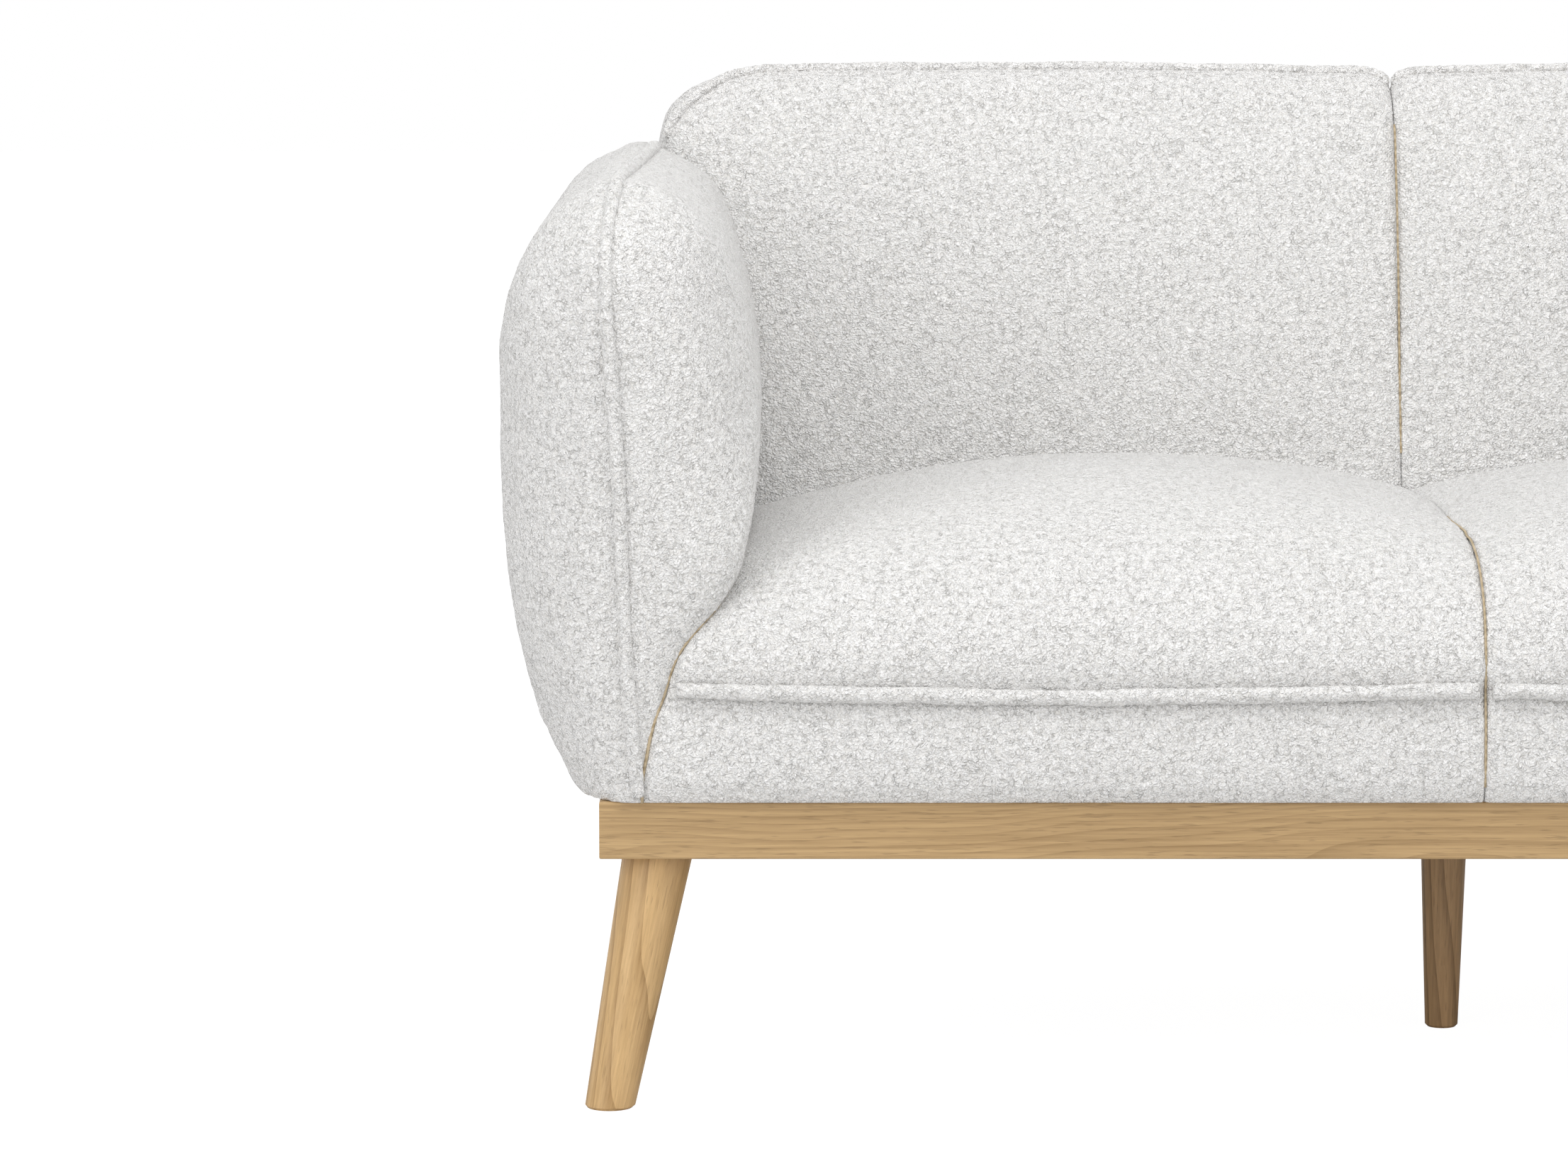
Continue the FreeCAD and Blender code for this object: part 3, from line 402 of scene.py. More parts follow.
@dataclass(frozen=True)
class Cloth:
    """Simulated cloth that plumps a pad, and the pile that roughens it afterwards."""

    voxel: float = 0.0072
    pressure: float = 4.0
    frames: int = 20
    cap: float = 0.010
    pile_depth: float = 0.0016
    pile_size: float = 0.0036
    lump_depth: float = 0.0018
    lump_size: float = 0.05

    def remesh(self, piece: Piece) -> None:
        """Give the pad an even net of faces and relax it."""
        apply_modifier(piece, "REMESH", mode="VOXEL", voxel_size=self.voxel, use_smooth_shade=True)
        apply_modifier(piece, "SMOOTH", factor=0.5, iterations=2)

    def plump(self, piece: Piece, loose: Callable[[np.ndarray], np.ndarray]) -> None:
        """Swell the pad between its pinned seams.

        Args:
            piece: an evenly meshed pad.
            loose: gives each vertex a share from 0, sewn down, to 1, free.
        """
        start = coordinates(piece)
        freedom = np.clip(loose(start), 0.0, 1.0)
        pins = piece.vertex_groups.new(name="pins")
        for index in np.nonzero(freedom < 0.98)[0]:
            pins.add([int(index)], float(1 - freedom[index]), "REPLACE")
        cloth = piece.modifiers.new("cloth", "CLOTH")
        cloth.settings.quality = 4
        cloth.settings.mass = 0.3
        cloth.settings.tension_stiffness = 12
        cloth.settings.compression_stiffness = 12
        cloth.settings.shear_stiffness = 5
        cloth.settings.bending_stiffness = 0.5
        cloth.settings.vertex_group_mass = pins.name
        cloth.settings.use_pressure = True
        cloth.settings.uniform_pressure_force = self.pressure
        cloth.settings.effector_weights.gravity = 0.0
        cloth.collision_settings.use_collision = False
        cloth.point_cache.frame_end = self.frames
        for number in range(1, self.frames + 1):
            bpy.context.scene.frame_set(number)
        moved = self.evaluated(piece) - start
        piece.modifiers.remove(cloth)
        piece.vertex_groups.remove(pins)
        bpy.context.scene.frame_set(1)
        length = np.linalg.norm(moved, axis=1, keepdims=True)
        LOG.info("%s swells by up to %.1f mm", piece.name, 1000 * length.max())
        limited = self.cap * np.tanh(length / self.cap) / np.maximum(length, 1e-9)
        piece.data.vertices.foreach_set("co", (start + moved * limited * freedom[:, None]).ravel())
        piece.data.update()

    @staticmethod
    def evaluated(piece: Piece) -> np.ndarray:
        """The vertices as the modifiers leave them at this frame.

        Args:
            piece: the piece to read.

        Returns:
            The places of its vertices.
        """
        graph = bpy.context.evaluated_depsgraph_get()
        mesh = piece.evaluated_get(graph).data
        flat = np.zeros(len(mesh.vertices) * 3)
        mesh.vertices.foreach_get("co", flat)
        return flat.reshape(-1, 3)

    def roughen(self, piece: Piece, subdivide: bool = True) -> None:
        """Refine the pad and raise its lumps and its pile.

        Args:
            piece: the pad or welt.
            subdivide: whether its faces are split first.
        """
        if subdivide:
            apply_modifier(piece, "SUBSURF", levels=1, render_levels=1)
        for name, size, depth in (("lumps", self.lump_size, self.lump_depth),
                                  ("pile", self.pile_size, self.pile_depth)):
            texture = bpy.data.textures.get(name) or bpy.data.textures.new(name, "CLOUDS")
            texture.noise_scale = size
            texture.noise_depth = 1
            apply_modifier(piece, "DISPLACE", texture=texture, strength=depth, mid_level=0.5,
                           texture_coords="LOCAL")
        bpy.ops.object.shade_smooth()


# ------------------------------------------------------------------ shader groups

class Graph:
    """A node tree under construction."""

    def __init__(self, tree: bpy.types.NodeTree) -> None:
        """Keep the tree."""
        self.tree = tree

    def add(self, kind: str, values: dict[str, object] | None = None, **settings: object) -> bpy.types.Node:
        """Add a node.

        Args:
            kind: the node's type name without its ShaderNode prefix.
            values: sockets by name, each a number, a tuple or another node's output.
            **settings: the node's own properties.

        Returns:
            The new node.
        """
        node = self.tree.nodes.new(f"ShaderNode{kind}")
        for key, setting in settings.items():
            setattr(node, key, setting)
        for key, value in (values or {}).items():
            socket = node.inputs[key]
            if isinstance(value, bpy.types.NodeSocket):
                self.tree.links.new(value, socket)
            else:
                socket.default_value = value
        return node

    def math(self, operation: str, first: object, second: object = 0.0,
             third: object = 0.0) -> bpy.types.NodeSocket:
        """Combine up to three numbers and return the result's socket."""
        return self.add("Math", {0: first, 1: second, 2: third}, operation=operation).outputs[0]

    def ramp(self, factor: object, low: float, high: float) -> bpy.types.NodeSocket:
        """Stretch a factor so that low becomes 0 and high becomes 1."""
        return self.add("MapRange", {"Value": factor, "From Min": low, "From Max": high}).outputs[0]

    def mix(self, factor: object, first: object, second: object) -> bpy.types.NodeSocket:
        """Blend two colours and return the result's socket."""
        node = self.add("Mix", {0: factor, 6: first, 7: second}, data_type="RGBA")
        return node.outputs[2]


def new_group(name: str, inputs: dict[str, tuple[str, float]], outputs: dict[str, str]) -> Graph:
    """Start a shader group with named sockets.

    Args:
        name: the group's name.
        inputs: socket name to (type, default).
        outputs: socket name to type.

    Returns:
        The group's graph, with its input and output nodes in place.
    """
    tree = bpy.data.node_groups.new(name, "ShaderNodeTree")
    for label, (kind, default) in inputs.items():
        socket = tree.interface.new_socket(label, in_out="INPUT", socket_type=f"NodeSocket{kind}")
        if kind == "Float":
            socket.default_value = default
    for label, kind in outputs.items():
        tree.interface.new_socket(label, in_out="OUTPUT", socket_type=f"NodeSocket{kind}")
    tree.nodes.new("NodeGroupInput").name = "given"
    tree.nodes.new("NodeGroupOutput").name = "result"
    return Graph(tree)


def build_pile_group() -> bpy.types.NodeTree:
    """Looped pile: round curls of uneven size; its Shade output is painted shade in the gaps between curls
    and in the cracks between clumps.

    Returns:
        The group's node tree.
    """
    graph = new_group("looped_pile", {"Vector": ("Vector", 0), "Curl Size": ("Float", 0.0035)},
                      {"Height": "Float", "Shade": "Float", "Drift": "Float"})
    given = graph.tree.nodes["given"].outputs
    result = graph.tree.nodes["result"].inputs
    per_metre = graph.math("DIVIDE", 1.0, given["Curl Size"])
    wander = graph.add("TexNoise", {"Vector": given["Vector"], "Scale": 140.0, "Detail": 2.0})
    offset = graph.add("VectorMath", {0: wander.outputs["Color"], 1: (0.5, 0.5, 0.5)}, operation="SUBTRACT")
    nudged = graph.add("VectorMath", {0: offset.outputs[0], 1: (0.005, 0.005, 0.005),
                                      2: given["Vector"]}, operation="MULTIPLY_ADD").outputs[0]
    curls = graph.add("TexVoronoi", {"Vector": nudged, "Scale": per_metre}, feature="F1")
    small = graph.add("TexVoronoi", {"Vector": nudged, "Scale": graph.math("MULTIPLY", per_metre, 1.9)},
                      feature="SMOOTH_F1")
    fibre = graph.add("TexNoise", {"Vector": nudged, "Scale": 900.0, "Detail": 2.0})
    big = graph.ramp(curls.outputs["Distance"], 0.75, 0.05)
    little = graph.ramp(small.outputs["Distance"], 0.6, 0.05)
    total = graph.math("ADD", graph.math("MULTIPLY", big, 0.65), graph.math("MULTIPLY", little, 0.35))
    total = graph.math("ADD", total, graph.math("MULTIPLY", fibre.outputs["Fac"], 0.12))
    drift = graph.add("TexNoise", {"Vector": given["Vector"], "Scale": 14.0, "Detail": 1.0})
    clump = graph.add("TexVoronoi", {"Vector": nudged, "Scale": graph.math("MULTIPLY", per_metre, 0.62)},
                      feature="DISTANCE_TO_EDGE")
    patch = graph.add("TexNoise", {"Vector": given["Vector"], "Scale": 210.0, "Detail": 1.0})
    # Cracks between clumps: they lower the relief and, through Shade, darken the colour as painted shade.
    crack_and_shade = graph.math("MULTIPLY", graph.ramp(clump.outputs["Distance"], 0.15, 0.0),
                       graph.ramp(patch.outputs["Fac"], 0.44, 0.66))
    total = graph.math("SUBTRACT", total, graph.math("MULTIPLY", crack_and_shade, 0.45))
    graph.tree.links.new(total, result["Height"])
    # Shade only colours the pile: painted shade that follows its height.
    graph.tree.links.new(graph.ramp(total, 0.0, 0.62), result["Shade"])
    graph.tree.links.new(graph.ramp(drift.outputs["Fac"], 0.3, 0.7), result["Drift"])
    return graph.tree


def build_grain_group() -> bpy.types.NodeTree:
    """Wood that grows along local Z: growth rings, fibres and short open pores.

    Returns:
        The group's node tree.
    """
    graph = new_group("wood_grain", {"Vector": ("Vector", 0), "Ring Width": ("Float", 0.007)},
                      {"Rings": "Float", "Fibre": "Float", "Pores": "Float", "Drift": "Float"})
    given = graph.tree.nodes["given"].outputs
    result = graph.tree.nodes["result"].inputs

    def stretched(across: float, along: float) -> bpy.types.NodeSocket:
        """The coordinates squeezed along the grain."""
        return graph.add("VectorMath", {0: given["Vector"], 1: (across, across, along)},
                         operation="MULTIPLY").outputs[0]

    bend = graph.add("TexNoise", {"Vector": stretched(9.0, 1.6), "Scale": 1.0, "Detail": 2.0})
    bowed = graph.add("VectorMath", {0: bend.outputs["Color"], 1: (0.045, 0.045, 0.0),
                                     2: given["Vector"]}, operation="MULTIPLY_ADD").outputs[0]
    flat = graph.add("VectorMath", {0: bowed, 1: (1.0, 1.0, 0.06)}, operation="MULTIPLY").outputs[0]
    radius = graph.add("VectorMath", {0: flat}, operation="LENGTH").outputs["Value"]
    turns = graph.math("DIVIDE", radius, given["Ring Width"])
    wave = graph.math("FRACT", turns)
    late = graph.math("POWER", wave, 3.0)
    fibre = graph.add("TexNoise", {"Vector": stretched(430.0, 8.0), "Scale": 1.0, "Detail": 6.0,
                                   "Roughness": 0.7})
    pores = graph.add("TexNoise", {"Vector": stretched(800.0, 55.0), "Scale": 1.0, "Detail": 1.0})
    drift = graph.add("TexNoise", {"Vector": stretched(16.0, 1.4), "Scale": 1.0, "Detail": 2.0})
    graph.tree.links.new(late, result["Rings"])
    graph.tree.links.new(graph.ramp(fibre.outputs["Fac"], 0.3, 0.72), result["Fibre"])
    graph.tree.links.new(graph.ramp(pores.outputs["Fac"], 0.62, 0.74), result["Pores"])
    graph.tree.links.new(graph.ramp(drift.outputs["Fac"], 0.3, 0.7), result["Drift"])
    return graph.tree


# ------------------------------------------------------------------ finishes

Colour = tuple[float, float, float, float]


@dataclass(frozen=True)
class Finish:
    """What every finish shares: a name and a material with one surface shader."""

    name: str

    def start(self) -> tuple[bpy.types.Material, Graph, bpy.types.Node]:
        """A fresh material, its graph and its surface shader.

        Returns:
            The material, its graph and the shader's node.
        """
        material = bpy.data.materials.new(self.name)
        material.use_nodes = True
        graph = Graph(material.node_tree)
        return material, graph, material.node_tree.nodes["Principled BSDF"]

    @staticmethod
    def connect(graph: Graph, shader: bpy.types.Node, colour: object, height: object,
                bump: float, roughness: object) -> None:
        """Feed colour, roughness and a bump into the surface shader.

        Args:
            graph: the material's graph.
            shader: its surface shader.
            colour: the socket of the colour.
            height: the socket of the relief.
            bump: the relief's depth in metres.
            roughness: a number or a socket.
        """
        graph.tree.links.new(colour, shader.inputs["Base Color"])
        relief = graph.add("Bump", {"Height": height, "Strength": 1.0, "Distance": bump})
        graph.tree.links.new(relief.outputs["Normal"], shader.inputs["Normal"])
        if isinstance(roughness, bpy.types.NodeSocket):
            graph.tree.links.new(roughness, shader.inputs["Roughness"])
        else:
            shader.inputs["Roughness"].default_value = roughness


@dataclass(frozen=True)
class Boucle(Finish):
    """Off-white looped pile, with painted shade in the gaps between its curls."""

    pile: bpy.types.NodeTree
    tip: Colour = (0.96, 0.954, 0.95, 1)
    # Colour of the gaps between curls: painted shade, darker and warmer than the tips.
    gap_shade: Colour = (0.75, 0.732, 0.705, 1)
    curl: float = 0.0020
    relief: float = 0.0020

    def build(self) -> bpy.types.Material:
        """Make the material.

        Returns:
            The material.
        """
        material, graph, shader = self.start()
        place = graph.add("TexCoord").outputs["Object"]
        pile = graph.add("Group", node_tree=self.pile)
        graph.tree.links.new(place, pile.inputs["Vector"])
        pile.inputs["Curl Size"].default_value = self.curl
        # The pile's Shade output blends towards the gap colour: painted shade in the gaps.
        colour = graph.mix(pile.outputs["Shade"], self.gap_shade, self.tip)
        soft = tuple(0.97 * part for part in self.tip[:3]) + (1.0,)
        tinted = graph.mix(graph.math("MULTIPLY", pile.outputs["Drift"], 0.1), colour, soft)
        self.connect(graph, shader, tinted, pile.outputs["Height"], self.relief, 0.95)
        shader.inputs["Sheen Weight"].default_value = 0.25
        shader.inputs["Sheen Roughness"].default_value = 0.6
        shader.inputs["Specular IOR Level"].default_value = 0.15
        return material


@dataclass(frozen=True)
class Wood(Finish):
    """Timber with its grain along a direction."""

    grain: bpy.types.NodeTree
    early: Colour
    late: Colour
    roughness: float
    turn: tuple[float, float, float] = (0.0, 0.0, 0.0)
    heart: tuple[float, float, float] = (0.0, 0.0, 0.0)
    ring: float = 0.007
    contrast: float = 0.35
    pores: float = 0.3

    def build(self) -> bpy.types.Material:
        """Make the material.

        Returns:
            The material.
        """
        material, graph, shader = self.start()
        place = graph.add("TexCoord").outputs["Object"]
        turned = graph.add("Mapping", {"Vector": place, "Location": self.heart, "Rotation": self.turn},
                           vector_type="TEXTURE").outputs["Vector"]
        grain = graph.add("Group", node_tree=self.grain)
        graph.tree.links.new(turned, grain.inputs["Vector"])
        grain.inputs["Ring Width"].default_value = self.ring
        rings = graph.math("MULTIPLY", grain.outputs["Rings"], self.contrast)
        fibre = graph.math("MULTIPLY", grain.outputs["Fibre"], 0.55)
        dark = graph.math("ADD", rings, graph.math("ADD", fibre, graph.math(
            "MULTIPLY", grain.outputs["Drift"], 0.25)))
        colour = graph.mix(graph.ramp(dark, 0.12, 1.06), self.early, self.late)
        pore_tone = tuple(0.55 * part for part in self.late[:3]) + (1.0,)
        colour = graph.mix(graph.math("MULTIPLY", grain.outputs["Pores"], self.pores), colour, pore_tone)
        height = graph.math("SUBTRACT", graph.math("MULTIPLY", grain.outputs["Fibre"], 0.4),
                            grain.outputs["Pores"])
        rough = graph.ramp(grain.outputs["Fibre"], -2.0, 2.0)
        rough = graph.math("ADD", graph.math("MULTIPLY", rough, 0.2), self.roughness - 0.1)
        self.connect(graph, shader, colour, height, 0.00012, rough)
        return material


@dataclass(frozen=True)
class Metal(Finish):
    """Plated or oiled steel with faint drawing marks."""

    colour: Colour
    roughness: float

    def build(self) -> bpy.types.Material:
        """Make the material.

        Returns:
            The material.
        """
        material, graph, shader = self.start()
        place = graph.add("TexCoord").outputs["Object"]
        marks = graph.add("TexNoise", {"Vector": place, "Scale": 700.0, "Detail": 3.0}).outputs["Fac"]
        dull = tuple(0.75 * part for part in self.colour[:3]) + (1.0,)
        colour = graph.mix(marks, self.colour, dull)
        rough = graph.math("MULTIPLY_ADD", marks, 0.2, self.roughness)
        self.connect(graph, shader, colour, marks, 0.00003, rough)
        shader.inputs["Metallic"].default_value = 1.0
        return material


@dataclass(frozen=True)
class Weave(Finish):
    """Flat cloth: webbing, felt or lining, by the size and depth of its threads."""

    light: Colour
    dark: Colour
    thread: float
    relief: float
    felted: bool = False

    def build(self) -> bpy.types.Material:
        """Make the material.

        Returns:
            The material.
        """
        material, graph, shader = self.start()
        place = graph.add("TexCoord").outputs["Object"]
        per_metre = 1.0 / self.thread
        if self.felted:
            threads = graph.add("TexNoise", {"Vector": place, "Scale": per_metre, "Detail": 4.0,
                                             "Distortion": 1.5}).outputs["Fac"]
        else:
            ribs = [graph.add("TexWave", {"Vector": place, "Scale": per_metre / 20, "Distortion": 0.4},
                              bands_direction=axis).outputs["Fac"] for axis in ("X", "Z")]
            threads = graph.math("MAXIMUM", ribs[0], ribs[1])
        colour = graph.mix(graph.ramp(threads, 0.25, 0.8), self.dark, self.light)
        self.connect(graph, shader, colour, threads, self.relief, 0.9)
        return material


# ------------------------------------------------------------------ upholstery

# The left arm's cross-section, as (share of the width, share of the height).
ARM_OUTLINE = (
    (0.44, 0.0), (0.325, 0.0), (0.225, 0.06), (0.134, 0.173), (0.036, 0.414), (0.020, 0.622),
    (0.052, 0.86), (0.250, 0.976), (0.546, 1.0), (0.778, 0.945), (0.925, 0.787), (0.985, 0.546),
    (0.933, 0.388), (0.753, 0.265), (0.649, 0.14), (0.567, 0.0),
)
# Where its inner side and its seam run, as (share of the height, share of the width).
ARM_EDGE = ((0.0, 0.567), (0.14, 0.649), (0.265, 0.753), (0.388, 0.933), (0.546, 1.0), (2.0, 1.0))
ARM_SEAM = ((0.0, 0.567), (0.215, 0.52), (0.338, 0.51), (0.546, 0.49), (0.684, 0.469), (0.822, 0.442),
            (0.93, 0.436), (1.0, 0.452))


@dataclass
class Sofa:
    """The sizes that the upholstered pieces share, read from the frame."""

    foot: float = 0.0
    arm_top: float = 0.0
    front: float = 0.0
    rear: float = 0.0
    top: float = 0.0
    outside: float = 0.0
    arm_width: float = 0.0
    back_end: float = 0.0
    back_foot: float = 0.0
    lean: float = 0.323
    underlap: float = 0.004

    def __post_init__(self) -> None:
        """Read the boxes of the soft nodes on the left."""
        arm_low, arm_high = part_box("arm_cushion_left")
        back_low, back_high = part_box("back_cushion_left")
        self.foot = arm_low.z
        self.arm_top = arm_high.z
        self.front = arm_low.y
        self.rear = back_high.y
        self.top = back_high.z
        self.outside = arm_low.x
        self.arm_width = arm_high.x - arm_low.x
        self.back_end = back_low.x
        self.back_foot = back_low.y

    def back_plane(self, level: np.ndarray) -> np.ndarray:
        """How far back the face of the backrest is at a level."""
        return self.back_foot + self.lean * (level - self.foot)

    def across_arm(self, level: np.ndarray, table: tuple[tuple[float, float], ...]) -> np.ndarray:
        """Read a table of (share of the height, share of the width) at a level of the left arm.

        Args:
            level: levels above the floor.
            table: pairs of shares.

        Returns:
            Places across the sofa.
        """
        ups, shares = zip(*table)
        up = (level - self.foot) / (self.arm_top - self.foot)
        return self.outside + self.arm_width * np.interp(up, ups, shares)

    def arm_edge(self, level: np.ndarray) -> np.ndarray:
        """Where the inner side of the left arm is at a level, below its fullest part."""
        return self.across_arm(level, ARM_EDGE)

    def arm_seam(self, level: np.ndarray) -> np.ndarray:
        """Where the seam of the left arm is at a level."""
        return self.across_arm(level, ARM_SEAM)

    def below_foot(self, level: np.ndarray) -> np.ndarray:
        """How far a pad reaches under the plinth's top, before it is pressed flat there."""
        return self.underlap * (1 - ease(level, self.foot, self.foot + 0.02))

    @property
    def seat_centre(self) -> tuple[float, float]:
        """The middle of a seat's profile, as (along, level)."""
        return self.front + 0.27, 0.33

    @property
    def back_centre(self) -> tuple[float, float]:
        """The middle of the backrest's profile, as (along, level)."""
        return self.rear - 0.12, 0.48


@dataclass
class Upholstery:
    """A kind of pad that is shaped on the left, mirrored to the right and welted."""

    sofa: Sofa
    cloth: Cloth
    welt_radius: float
    kind: ClassVar[str]
    ball: ClassVar[tuple[int, int]]
    fill: ClassVar[float]
    welt_lift: ClassVar[float]
    welt_passes: ClassVar[int] = 6

    def shape(self, ball: np.ndarray) -> np.ndarray:
        """Wrap the ball round the left pad."""
        raise NotImplementedError

    def loose(self, points: np.ndarray) -> np.ndarray:
        """How free each vertex is, from 0, sewn down, to 1."""
        raise NotImplementedError

    def welt_path(self) -> np.ndarray:
        """The line of the left welt, near the pad's skin."""
        raise NotImplementedError

    def trim(self, pad: Piece) -> None:
        """Cut the left pad before it is meshed evenly."""

    def hold(self, line: np.ndarray, side: Side) -> np.ndarray:
        """Correct a welt's line once it lies on its pad."""
        return line

    def build(self) -> list[tuple[Piece, Piece]]:
        """Make both pads and their welts.

        Returns:
            The pads and welts, left first, as (pad, welt).
        """
        left = add_globe(f"{self.kind}_left", *self.ball, self.shape)
        self.trim(left)
        self.cloth.remesh(left)
        self.cloth.plump(left, self.loose)
        right = mirror_copy(left, f"{self.kind}_right")
        path = self.welt_path()
        pairs = []
        for side, pad in ((Side.LEFT, left), (Side.RIGHT, right)):
            self.cloth.roughen(pad)
            press_flat(pad, side, self.sofa.foot)
            line = lay_on(pad, path * np.array([-side.value, 1, 1]),
                          self.welt_lift * self.welt_radius, self.welt_passes)
            welt = add_tube(f"{self.kind}_welt_{side.word}", self.hold(line, side), self.welt_radius)
            self.cloth.roughen(welt)
            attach(pad, "root")
            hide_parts(f"{self.kind}_cushion_{side.word}")
            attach(welt, "root")
            LOG.info("%s %s", self.kind, side.word)
            pairs.append((pad, welt))
        return pairs


@dataclass
class Arm(Upholstery):
    """An egg-shaped arm of two panels, seamed up its nose and along its top."""

    kind: ClassVar[str] = "arm"
    ball: ClassVar[tuple[int, int]] = (144, 120)
    fill: ClassVar[float] = 0.9
    welt_lift: ClassVar[float] = 0.15
    welt_passes: ClassVar[int] = 14
    nose: float = 0.088
    inner_nose: float = 0.034
    tail: float = 0.09
    nose_share: float = 0.28
    tail_share: float = 0.82
    top_round: float = 0.09
    welt_radius: float = 0.0056
    welt_aside: float = 0.0040

    def ring_places(self, polar: np.ndarray, ring: np.ndarray) -> tuple[np.ndarray, np.ndarray]:
        """Turn the polar share into a place along the arm and the fullness there.

        Args:
            polar: share of the way from the front pole to the rear one.
            ring: places on the arm's outline, as (across, level).

        Returns:
            The place along the sofa and the share of the full outline. The nose turns sharply
            where the seat presses against it.
        """
        sofa = self.sofa
        up = (ring[:, 1] - sofa.foot) / (sofa.arm_top - sofa.foot)
        pressed = ease(ring[:, 0] - sofa.arm_seam(ring[:, 1]), 0.0, 0.02) * (1 - ease(up, 0.40, 0.66))
        nose = self.nose + (self.inner_nose - self.nose) * pressed
        length = sofa.rear - sofa.front
        swing = np.clip(polar / self.nose_share, 0, 1) * math.pi / 2
        back_swing = np.clip((1 - polar) / (1 - self.tail_share), 0, 1) * math.pi / 2
        middle = (polar - self.nose_share) / (self.tail_share - self.nose_share)
        along = np.where(
            polar < self.nose_share, nose * (1 - np.cos(swing)),
            np.where(polar > self.tail_share, length - self.tail * (1 - np.cos(back_swing)),
                     nose + middle * (length - nose - self.tail)))
        fullness = np.where(polar < self.nose_share, np.sin(swing),
                            np.where(polar > self.tail_share, np.sin(back_swing), 1.0))
        return sofa.front + along, fullness

    def top_at(self, along: np.ndarray) -> np.ndarray:
        """The level of the arm's top at a place along it.

        Args:
            along: places along the sofa.

        Returns:
            The levels there.
        """
        sofa = self.sofa
        front_round = quarter_round(along - sofa.front, self.top_round)
        rear_round = quarter_round(sofa.rear - along, self.top_round * 0.8)
        return sofa.arm_top - self.top_round * (1 - front_round) - 0.8 * self.top_round * (1 - rear_round)

    def shape(self, ball: np.ndarray) -> np.ndarray:
        """Wrap the ball round the arm.

        Args:
            ball: the ball's polar share and its share round the axis.

        Returns:
            The places on the arm.
        """
        sofa = self.sofa
        height = sofa.arm_top - sofa.foot
        outline = smooth_path([(sofa.outside + across * sofa.arm_width, sofa.foot + up * height)
                               for across, up in ARM_OUTLINE], 240, closed=True)
        ring = along_curve(outline, ball[:, 1])
        along, fullness = self.ring_places(ball[:, 0], ring)
        seam = sofa.arm_seam(ring[:, 1])
        across = seam + (ring[:, 0] - seam) * fullness
        shrink = (self.top_at(along) - sofa.foot) / height
        level = sofa.foot + (np.maximum(ring[:, 1], sofa.foot) - sofa.foot) * shrink
        level -= sofa.below_foot(ring[:, 1])
        return np.column_stack([across, along, level])

    def welt_path(self) -> np.ndarray:
        """The welt's line: up the nose, over the corner and back to the backrest.

        Returns:
            Points along it.
        """
        sofa = self.sofa
        lift = 0.2 * self.welt_radius
        corner = self.top_round
        upright = np.linspace(sofa.foot + 0.004, sofa.arm_top - corner, 90)
        swing = np.linspace(0, math.pi / 2, 30)[1:]
        rise = sofa.arm_top - corner + corner * np.sin(swing)
        back = sofa.front + corner * (1 - np.cos(swing))
        end = sofa.back_plane(np.array([sofa.arm_top]))[0] + 0.006
        run = np.linspace(sofa.front + corner, end, 90)[1:]
        level = np.concatenate([upright, rise, np.full(len(run), sofa.arm_top)])
        along = np.concatenate([np.full(len(upright), sofa.front), back, run])
        across = sofa.arm_seam(level)
        drift = ((along - sofa.front) / (end - sofa.front)) ** 0.6
        across = across + drift * (sofa.back_end - across[-1]) - self.welt_aside * (1 - drift)
        outward = np.column_stack([np.zeros(len(level)), along, level]) - np.array(
            [0.0, sofa.front + corner, sofa.arm_top - corner])
        outward[:, 1] = np.minimum(outward[:, 1], 0)
        outward[:, 2] = np.maximum(outward[:, 2], 0)
        outward /= np.maximum(np.linalg.norm(outward, axis=1, keepdims=True), 1e-9)
        return np.column_stack([across, along, level]) + outward * lift

    def loose(self, points: np.ndarray) -> np.ndarray:
        """How free each vertex is: sewn at the seam, at the foot and against the backrest.

        Args:
            points: vertices, one row each.

        Returns:
            A share for each vertex.
        """
        sofa = self.sofa
        seam_line = self.welt_path()
        nearest = np.full(len(points), 1.0)
        for start in range(0, len(points), 4000):
            part = points[start:start + 4000]
            gaps = np.linalg.norm(part[:, None, :] - seam_line[None, ::3, :], axis=2)
            nearest[start:start + 4000] = gaps.min(axis=1)
        off_seam = ease(nearest, 0.004, 0.03)
        off_foot = ease(points[:, 2], sofa.foot + 0.004, sofa.foot + 0.05)
        off_back = ease(sofa.back_plane(points[:, 2]) - points[:, 1], 0.0, 0.04)
        outer = ease(-points[:, 0], -sofa.back_end + 0.005, -sofa.back_end + 0.04)
        seat_gap = ease(points[:, 2], sofa.foot + 0.12, sofa.foot + 0.2)
        inner_free = np.where(points[:, 0] > sofa.back_end, off_back * seat_gap, outer)
        return off_seam * off_foot * np.maximum(inner_free, outer)

    def trim(self, pad: Piece) -> None:
        """Take away what lies behind the face of the backrest and inside its end.

        Args:
            pad: the left arm.
        """
        sofa = self.sofa
        deselect()
        bpy.ops.mesh.primitive_cube_add(size=1.0)
        wedge = name_piece("wedge")
        low, high = sofa.foot - 0.05, sofa.top + 0.1

        def lean(points: np.ndarray) -> np.ndarray:
            """Slope the block's face like the backrest's.

            Args:
                points: the block's corners.

            Returns:
                Their new places.
            """
            level = np.where(points[:, 2] < 0, low, high)
            near = sofa.back_plane(level) - 0.0004
            return np.column_stack([np.where(points[:, 0] < 0, sofa.back_end - 0.0004, 0.0),
                                    np.where(points[:, 1] < 0, near, sofa.rear + 0.1), level])

        move_vertices(wedge, lean)
        apply_modifier(pad, "BOOLEAN", operation="DIFFERENCE", object=wedge, solver="EXACT")
        bpy.data.objects.remove(wedge)


